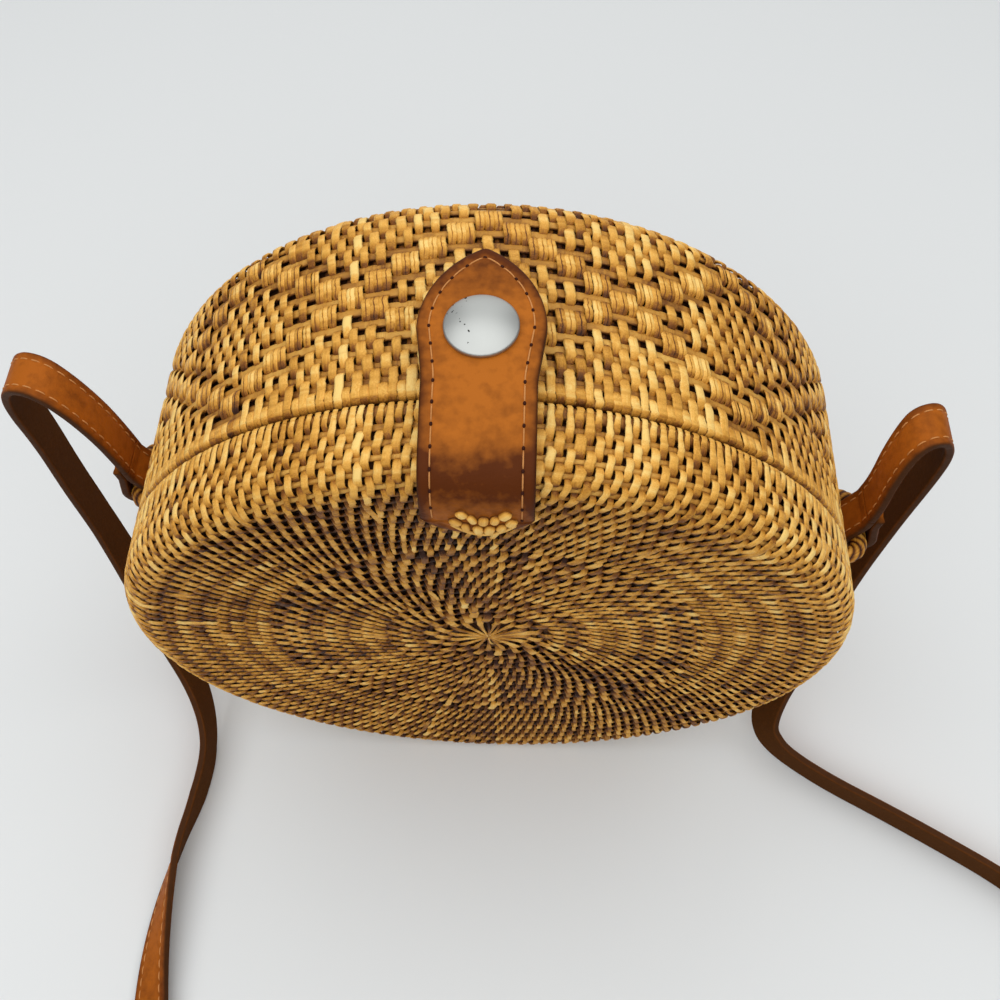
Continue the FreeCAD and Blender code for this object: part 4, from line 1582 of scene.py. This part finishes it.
@dataclass
class Ear:
    """Plaited arch beside the seam that the strap's eye runs on."""

    sizes: BagSizes
    hand: Hand
    angle: float = np.radians(3.0)
    tube: float = 4.5
    bar: float = 102.0
    foot: float = 93.0
    bend: float = 4.0
    ridge_pitch: float = 2.3
    ridge_share: float = 0.17
    ridge_power: float = 0.6
    step: float = 0.3
    sides: int = 28
    tone: Point = (0.58, 0.12, 7.3)
    grain: Pair = (0.3, 2.0)

    def build(self, finishes: Finishes) -> None:
        """Make the arch: two legs, two bends and a bar, with plaited ridges.

        The radius is that of the tube times 1 - share * (1 - |sin(pi (u / pitch + 2 zigzag))|^power),
        where the zigzag goes round the tube. A strand's tone is a mean, a change and its rate.

        Args:
            finishes: the bag's materials.
        """
        label = self.hand.label
        low, high = self.sizes.box(f"ear_{label}")
        near, far = low[1] + self.tube / 2, high[1] - self.tube / 2
        corner = (self.bend * np.pi / 2, -np.pi / 2)
        leg = (self.bar - self.bend - self.foot, 0.0)
        runs = [leg, corner, (far - near - 2 * self.bend, 0.0), corner, leg]
        along, places, heading = run_path((near, self.foot), np.pi / 2, runs, self.step)
        spin = circle(self.sides)
        zigzag = np.abs((spin / np.pi) % 2 - 1)
        wave = np.abs(np.sin(np.pi * (along[:, None] / self.ridge_pitch + 2 * zigzag)))
        thick = self.tube / 2 * (1 - self.ridge_share * (1 - wave ** self.ridge_power))
        y = places[:, :1] - thick * np.cos(spin) * np.sin(heading)[:, None]
        radius = places[:, 1:] + thick * np.cos(spin) * np.cos(heading)[:, None]
        offset = thick * np.sin(spin)
        sign = self.hand.value
        x = sign * (radius * np.cos(self.angle) - offset * np.sin(self.angle))
        z = self.sizes.axis_height + radius * np.sin(self.angle) + offset * np.cos(self.angle)
        points = np.stack([x, y, z], -1)[None]
        ridge = np.floor(along[:, None] / self.ridge_pitch + 2 * zigzag)
        mean, change, rate = self.tone
        tone = mean + change * np.sin(rate * ridge)
        # Painted shade: the troughs between the plait's ridges are darker.
        values = {"tone": tone[None], "sink": (1 - wave)[None], "along": along[:, None] * self.grain[0],
                  "across": spin * self.grain[1]}
        piece = tube_mesh(f"ear_{label}_plait", points, values)
        dress(piece, finishes.splint, "back", (f"ear_{label}",))


@dataclass
class HingeLoop:
    """Flat loop of three cane strips through both rims, on which the lid turns."""

    sizes: BagSizes
    hand: Hand
    angle: float = np.radians(18.0)
    half_width: float = 5.15
    outer: float = 95.9
    inner: float = 89.5
    corner: float = 1.4
    strips: int = 3
    strip_gap: float = 0.08
    round_off: float = 0.35
    step: float = 0.5
    tones: Point = (0.55, 0.68, 0.5)
    width: float = 7.0
    thickness: float = 1.2
    fold_half: float = 1.0

    def build(self, finishes: Finishes) -> None:
        """Make the strips: each runs round a rectangle with rounded corners through both walls.

        Args:
            finishes: the bag's materials.
        """
        label = self.hand.label
        turn = (self.corner * np.pi / 2, np.pi / 2)
        long, short = 2 * (self.half_width - self.corner), self.outer - self.inner - 2 * self.corner
        start = (self.sizes.seam - self.half_width + self.corner, self.inner)
        runs = [(long, 0.0), turn, (short, 0.0), turn, (long, 0.0), turn, (short, 0.0), turn]
        along, places, heading = run_path(start, 0.0, runs, self.step)
        along, places, heading = along[:-1], places[:-1], heading[:-1]
        pitch = self.width / self.strips
        profile = ribbon_profile(pitch / 2 - self.strip_gap, self.thickness / 2, self.round_off)
        y = places[:, :1] - profile[:, 1] * np.sin(heading)[:, None]
        radius = places[:, 1:] + profile[:, 1] * np.cos(heading)[:, None]
        offset = (np.arange(self.strips) - (self.strips - 1) / 2) * pitch
        across = offset[:, None, None] + profile[:, 0]
        sign = self.hand.value
        x = sign * (radius * np.sin(self.angle) + across * np.cos(self.angle))
        z = self.sizes.axis_height - radius * np.cos(self.angle) + across * np.sin(self.angle)
        points = points_of(x, y, z)
        tone = np.array(self.tones)[:, None, None]
        values = {"tone": tone, "sink": np.array(0.0), "along": along[:, None], "across": profile[:, 0]}
        piece = tube_mesh(f"hinge_loop_{label}_strips", points, values, ring=True)
        middle, half = self.sizes.seam * MM, self.fold_half * MM
        fold = Fold("back", "front", (0.0, middle + half, 0.0), (0.0, middle - half, 0.0))
        dress(piece, finishes.splint, fold, (f"hinge_loop_{label}",))


@dataclass
class Strap:
    """Leather shoulder strap: a band sewn along both edges, with an eye round each ear."""

    sizes: BagSizes
    width: float = 12.0
    thickness: float = 2.4
    end_length: float = 12.0
    eye_length: float = 8.5
    lead: float = 5.0
    lean: float = np.radians(6.0)
    ear_angle: float = np.radians(3.0)
    bar: float = 102.0
    eye_radius: float = 3.75
    slide: float = 0.6
    round_off: float = 0.7
    stitch_inset: float = 2.1
    groove_depth: float = 0.18
    groove_width: float = 0.45
    rim_width: float = 0.8
    flesh_rise: float = 2.0
    margin_worn: float = 0.6
    columns: int = 31
    neck_bend: float = 1.0
    eye_step: float = 0.5
    spline_steps: int = 16
    spline_order: int = 3
    thread: Thread = Thread(pitch=3.5, length=2.6, radius=0.20, lift=0.12)
    route_points: tuple[Point, ...] = (
        (-104.4, 12, 128), (-108.5, 12.3, 140), (-114.5, 14, 145.5), (-122.5, 16.5, 143.5),
        (-127.5, 18.5, 132), (-128.5, 20, 110), (-128.5, 18, 88), (-127, 15.5, 66), (-122.5, 8, 44),
        (-113, -7, 25), (-102, -24, 12.5), (-97, -41, 7.5), (-98.5, -58, 6.3), (-103, -76, 6.3),
        (-104.5, -102, 5.7), (-102.5, -128, 3.4), (-94, -166, 5.7), (-62, -208, 6.3), (0, -237, 6.3),
        (70, -243, 6.3), (136, -226, 6.3), (186, -190, 6.3), (206, -148, 6.3), (201, -110, 6.3),
        (174, -81.5, 6.3), (136, -59.5, 6.3), (108, -45, 6.5), (92, -33.5, 9), (92, -24, 20),
        (100.5, -12, 40), (108.5, 2, 66), (115, 9.5, 94), (117.2, 10.8, 118), (116.8, 10.6, 131),
        (113.2, 9.6, 138.8), (108, 8, 139.6), (104.8, 6.3, 136), (103, 4.2, 127))
    width_turns: tuple[Point, ...] = (
        (0, -1, 0), (0, -1, 0), (0, -1, 0), (0, -1, 0), (0, -1, 0), (0, -1, 0), (0, -1, 0), (0, -1, 0.05),
        (-0.15, -0.95, 0.20), (-0.35, -0.75, 0.50), (-0.28, -0.30, 0.90), (-0.05, -0.05, 1), (0, 0, 1),
        (0.25, 0, 0.97), (0.72, 0, 0.70), (0.97, 0, 0.26), (0.72, 0, 0.70), (0.05, 0, 1), (0, 0, 1),
        (0, 0, 1), (0, 0, 1), (0, 0, 1), (0, 0, 1), (0, 0, 1), (0, 0, 1), (0, 0, 1), (0.05, -0.05, 1),
        (0.40, -0.30, 0.85), (0.45, -0.75, 0.45), (0.25, -0.95, 0.20), (0.05, -1, 0.05), (0, -1, 0),
        (0, -1, 0), (0, -1, 0), (0, -1, 0), (0, -1, 0), (0, -1, 0), (0, -1, 0))

    def frame_at(self, hand: Hand) -> tuple[Array, Array, Array]:
        """Middle of the ear's bar at the strap, and the directions along the strap and to the bag.

        Args:
            hand: the side of the bag.

        Returns:
            The place and two unit directions.
        """
        sign = hand.value
        low, high = self.sizes.box(f"ear_{hand.label}")
        depth = (low[1] + high[1]) / 2 + sign * self.slide
        middle = np.array([sign * self.bar * np.cos(self.ear_angle), depth,
                           self.sizes.axis_height + self.bar * np.sin(self.ear_angle)])
        along = np.array([sign * np.sin(self.lean), 0.0, np.cos(self.lean)])
        across = np.array([-sign * np.cos(self.lean), 0.0, np.sin(self.lean)])
        return middle, along, across

    def start(self, hand: Hand) -> Array:
        """Middle of the band where it leaves its eye."""
        middle, along, across = self.frame_at(hand)
        return middle + along * self.end_length + across * self.thickness / 2

    def route(self) -> tuple[Array, Array]:
        """Control points and width directions from one eye to the other.

        Returns:
            Points and directions, each of shape (n, 3).
        """
        left, right = self.start(Hand.LEFT), self.start(Hand.RIGHT)
        left_lead = left + self.frame_at(Hand.LEFT)[1] * self.lead
        right_lead = right + self.frame_at(Hand.RIGHT)[1] * self.lead
        points = np.concatenate([[left, left_lead], self.route_points, [right_lead, right]])
        flat = [(0.0, -1.0, 0.0)] * 2
        return points, np.concatenate([flat, self.width_turns, flat])

    def follow(self) -> tuple[Array, Array, Array]:
        """Middle line of the band as a smooth spline over its control points.

        The width's direction is mixed from the two nearest control points, each at its own place
        on the spline, and made square to the line.

        Returns:
            Points, tangents and unit width directions.
        """
        control, turns = self.route()
        count = len(control)
        curve = bpy.data.curves.new("strap_route", "CURVE")
        curve.dimensions = "3D"
        curve.resolution_u = self.spline_steps
        spline = curve.splines.new("NURBS")
        spline.points.add(count - 1)
        places = np.concatenate([control * MM, np.ones((count, 1))], axis=1)
        spline.points.foreach_set("co", places.astype(np.float32).ravel())
        spline.order_u = self.spline_order
        spline.use_endpoint_u = True
        holder = bpy.data.objects.new("strap_route", curve)
        traced = bpy.data.meshes.new_from_object(holder)
        points = np.empty(3 * len(traced.vertices), dtype=np.float32)
        traced.vertices.foreach_get("co", points)
        bpy.data.objects.remove(holder)
        bpy.data.curves.remove(curve)
        bpy.data.meshes.remove(traced)
        points = points.reshape(-1, 3).astype(float) / MM
        tangent = unit(np.gradient(points, axis=0))
        knots = np.concatenate([[0.0], np.arange(count - 2) + 0.5, [count - 2.0]])
        place = np.linspace(0, count - 2, len(points))
        mixed = np.stack([np.interp(place, knots, turns[:, k]) for k in range(3)], -1)
        across = unit(mixed - tangent * (mixed * tangent).sum(1, keepdims=True))
        return points, tangent, across

    def band(self, name: str, points: Array, across: Array, out: Array) -> bpy.types.Object:
        """Make a stretch of the band from its middle line, width and outward directions.

        Both faces fall away at the rounded edges, and the outer one sinks along its two seams.

        Args:
            name: the piece's name.
            points: places on the middle line.
            across: unit directions of the width there.
            out: unit directions out of the outer face.

        Returns:
            The piece, not yet dressed.
        """
        x = self.width / 2 * np.sin(np.linspace(np.pi / 2, -np.pi / 2, self.columns))
        edge = self.width / 2 - np.abs(x)
        fall = edge_fall(edge, self.round_off)
        sewn = groove(edge, self.stitch_inset, self.groove_depth, self.groove_width)
        above = there_and_back(self.thickness / 2 - fall - sewn, fall - self.thickness / 2)
        aside = across[:, None] * there_and_back(x, x)[:, None]
        points = points[:, None] + aside + out[:, None] * above[:, None]
        rim = np.clip(1 - edge / self.rim_width, 0, 1)
        flesh = np.clip(self.flesh_rise * edge / self.round_off, 0, 1)
        worn = self.margin_worn * np.sqrt(np.clip(1 - edge / self.stitch_inset, 0, 1))
        values = {"edge": there_and_back(rim, rim), "worn": there_and_back(worn, worn),
                  "flesh": there_and_back(np.zeros(self.columns), flesh)}
        return tube_mesh(name, points[None], values)

    def stitches(self, name: str, points: Array, across: Array, out: Array) -> bpy.types.Object:
        """Make the two rows of stitches on the outer face.

        Args:
            name: the piece's name.
            points: places on the middle line.
            across: unit directions of the width there.
            out: unit directions out of the outer face.

        Returns:
            The piece, not yet dressed.
        """
        height = self.thickness / 2 - self.groove_depth
        reach = self.width / 2 - self.stitch_inset
        rows = [self.thread.points(points + out * height + across * side * reach, out) for side in (-1, 1)]
        return tube_mesh(name, np.concatenate(rows), {})

    def eye(self, hand: Hand) -> tuple[Array, Array, Array]:
        """Middle line of an eye: down the neck, round the ear's bar and back up.

        The neck's two layers lie on each other, part, and touch a circle round the bar.

        Args:
            hand: the side of the bag.

        Returns:
            Points, directions of the width and outward directions.
        """
        middle, along, across = self.frame_at(hand)
        half = self.thickness / 2
        away = np.hypot(self.eye_length, half)
        spread = np.arccos(self.eye_radius / away) + np.arctan2(half, self.eye_length)
        flare = np.pi / 2 - spread
        reach = np.sqrt(away ** 2 - self.eye_radius ** 2)
        neck, soft = self.end_length - self.eye_length, self.neck_bend
        wrap = 2 * np.pi - 2 * spread
        down = [(neck - soft / 2, 0.0), (soft, -flare), (reach - soft / 2, 0.0)]
        runs = [*down, (self.eye_radius * wrap, wrap), *down[::-1]]
        _, places, heading = run_path((self.end_length, half), np.pi, runs, self.eye_step)
        points = middle + places[:, :1] * along + places[:, 1:] * across
        out = np.sin(heading)[:, None] * along - np.cos(heading)[:, None] * across
        wide = np.broadcast_to([0.0, -1.0, 0.0], points.shape)
        return points, wide, out

    def build(self, finishes: Finishes) -> None:
        """Args:
            finishes: the bag's materials.
        """
        points, tangent, across = self.follow()
        out = np.cross(tangent, across)
        band = self.band("shoulder_strap", points, across, out)
        dress(band, finishes.strap, "back",
              ("strap_left_fall", "strap_floor_run", "strap_right_fall"))
        carried = [self.stitches("strap_stitching", points, across, out)]
        dress(carried[0], finishes.thread, "back")
        for hand in Hand:
            label = hand.label
            eye = self.band(f"strap_eye_{label}", *self.eye(hand))
            dress(eye, finishes.strap, "back", (f"strap_{label}_end",))
            sewn = self.stitches(f"strap_eye_{label}_stitching", *self.eye(hand))
            dress(sewn, finishes.thread, "back")
            carried += [eye, sewn]
        length = length_along(points)[-1]
        LOG.info("strap: %.0f mm between its eyes", length)
        tuple(self.start(Hand.LEFT) * MM)


@dataclass(frozen=True)
class Lamp:
    """A square soft lamp: its place, what it is turned to, its size, and its power in watts."""

    name: str
    place: Point
    target: Point
    size: float
    power: float


@dataclass
class Studio:
    """Floor, lamps, surroundings and the photograph's camera."""

    eye: Point = (9.56, -132.44, 352.35)
    right: Point = (0.9994, 0.0325, -0.0121)
    up: Point = (-0.0227, 0.8755, 0.4827)
    back: Point = (0.0263, -0.4821, 0.8757)
    lens: float = 36.5
    sensor: float = 36.0
    floor_half: float = 3000.0
    world_colour: Colour = (0.87, 0.88, 0.89)
    world_strength: float = 0.24
    lamp_up: Point = (0.0, 1.0, 0.02)
    lamps: tuple[Lamp, ...] = (
        Lamp("overhead_lamp", (-60.0, -480.0, 1000.0), (-60.0, -490.0, 90.0), 2200.0, 21.5),
        Lamp("back_panel", (0.0, 1700.0, 960.0), (0.0, 0.0, 930.0), 1800.0, 9.0))

    def build(self, finishes: Finishes) -> None:
        """Set the stage.

        Args:
            finishes: the bag's materials.
        """
        self.build_floor(finishes.floor)
        self.build_world()
        for lamp in self.lamps:
            self.build_lamp(lamp)
        self.build_camera()
        bpy.context.scene.view_settings.view_transform = "Standard"

    def build_floor(self, finish: bpy.types.Material) -> None:
        """Lay the floor: one square at height zero.

        Args:
            finish: the floor's material.
        """
        half = self.floor_half * MM
        mesh = bpy.data.meshes.new("floor")
        corners = [(-half, -half, 0.0), (half, -half, 0.0), (half, half, 0.0), (-half, half, 0.0)]
        mesh.from_pydata(corners, [], [(0, 1, 2, 3)])
        floor = bpy.data.objects.new("floor", mesh)
        floor.data.materials.append(finish)
        bpy.context.scene.collection.objects.link(floor)
        floor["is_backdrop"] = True

    def build_world(self) -> None:
        """Even pale light from all round."""
        world = bpy.data.worlds.new("studio")
        world.use_nodes = True
        background = world.node_tree.nodes["Background"]
        background.inputs[0].default_value = (*self.world_colour, 1.0)
        background.inputs[1].default_value = self.world_strength
        bpy.context.scene.world = world

    def build_lamp(self, lamp: Lamp) -> None:
        """Hang one lamp, turned to its target.

        Args:
            lamp: the lamp's sizes and place.
        """
        light = bpy.data.lights.new(lamp.name, "AREA")
        light.size = lamp.size * MM
        light.energy = lamp.power
        holder = bpy.data.objects.new(lamp.name, light)
        place = np.array(lamp.place)
        back = unit(place - np.array(lamp.target))
        side = unit(np.cross(self.lamp_up, back))
        holder.matrix_world = self.placed(side, np.cross(back, side), back, place)
        bpy.context.scene.collection.objects.link(holder)

    def build_camera(self) -> None:
        """Stand the camera where the photograph was taken from."""
        camera = bpy.data.cameras.new("camera")
        camera.sensor_width = self.sensor
        camera.lens = self.lens
        holder = bpy.data.objects.new("camera", camera)
        axes = (np.array(axis) for axis in (self.right, self.up, self.back))
        holder.matrix_world = self.placed(*axes, np.array(self.eye))
        bpy.context.scene.collection.objects.link(holder)
        bpy.context.scene.camera = holder

    @staticmethod
    def placed(right: Array, up: Array, back: Array, place: Array) -> Matrix:
        """Matrix of an object with the given axes and place in millimetres."""
        columns = np.stack([right, up, back, place * MM], axis=1)
        return Matrix(np.concatenate([columns, [[0.0, 0.0, 0.0, 1.0]]]).tolist())


def corners() -> list[list[float]]:
    """Lowest and highest corner of the shown object as plain lists."""
    return [[float(value) for value in corner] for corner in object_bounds()]


def main() -> None:
    """Dress the bag and set the stage."""
    logging.basicConfig(level=logging.INFO, format="%(message)s")
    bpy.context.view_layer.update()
    sizes = BagSizes()
    finishes = Finishes()
    Studio().build(finishes)
    Strap(sizes).build(finishes)
    front = Section(Side.FRONT, sizes.radius, sizes.front_mouth + sizes.half_depth, sizes.half_depth,
                    sizes.axis_height, edge_radius=7.5, dish=5.0)
    back = Section(Side.BACK, sizes.radius, sizes.half_depth - sizes.back_mouth, sizes.half_depth,
                   sizes.axis_height, edge_radius=9.0, dish=4.0)
    lid = WovenHalf(front, "front", "front", sectors=2, blocks=False, seed=1, shade_powers=(2.4, 1.3),
                    mouth_narrow=0.30, rim_narrow=0.13)
    case = WovenHalf(back, "back", "back", sectors=4, blocks=True, seed=2, rod_share=0.34, lip=0.25)
    for half in (lid, case):
        half.build(finishes)
    SnapTab(sizes).build(finishes)
    Crescent(sizes).build(finishes)
    PressSnap(sizes).build(finishes)
    for hand in Hand:
        Ear(sizes, hand).build(finishes)
        HingeLoop(sizes, hand).build(finishes)


if __name__ == "__main__":
    main()
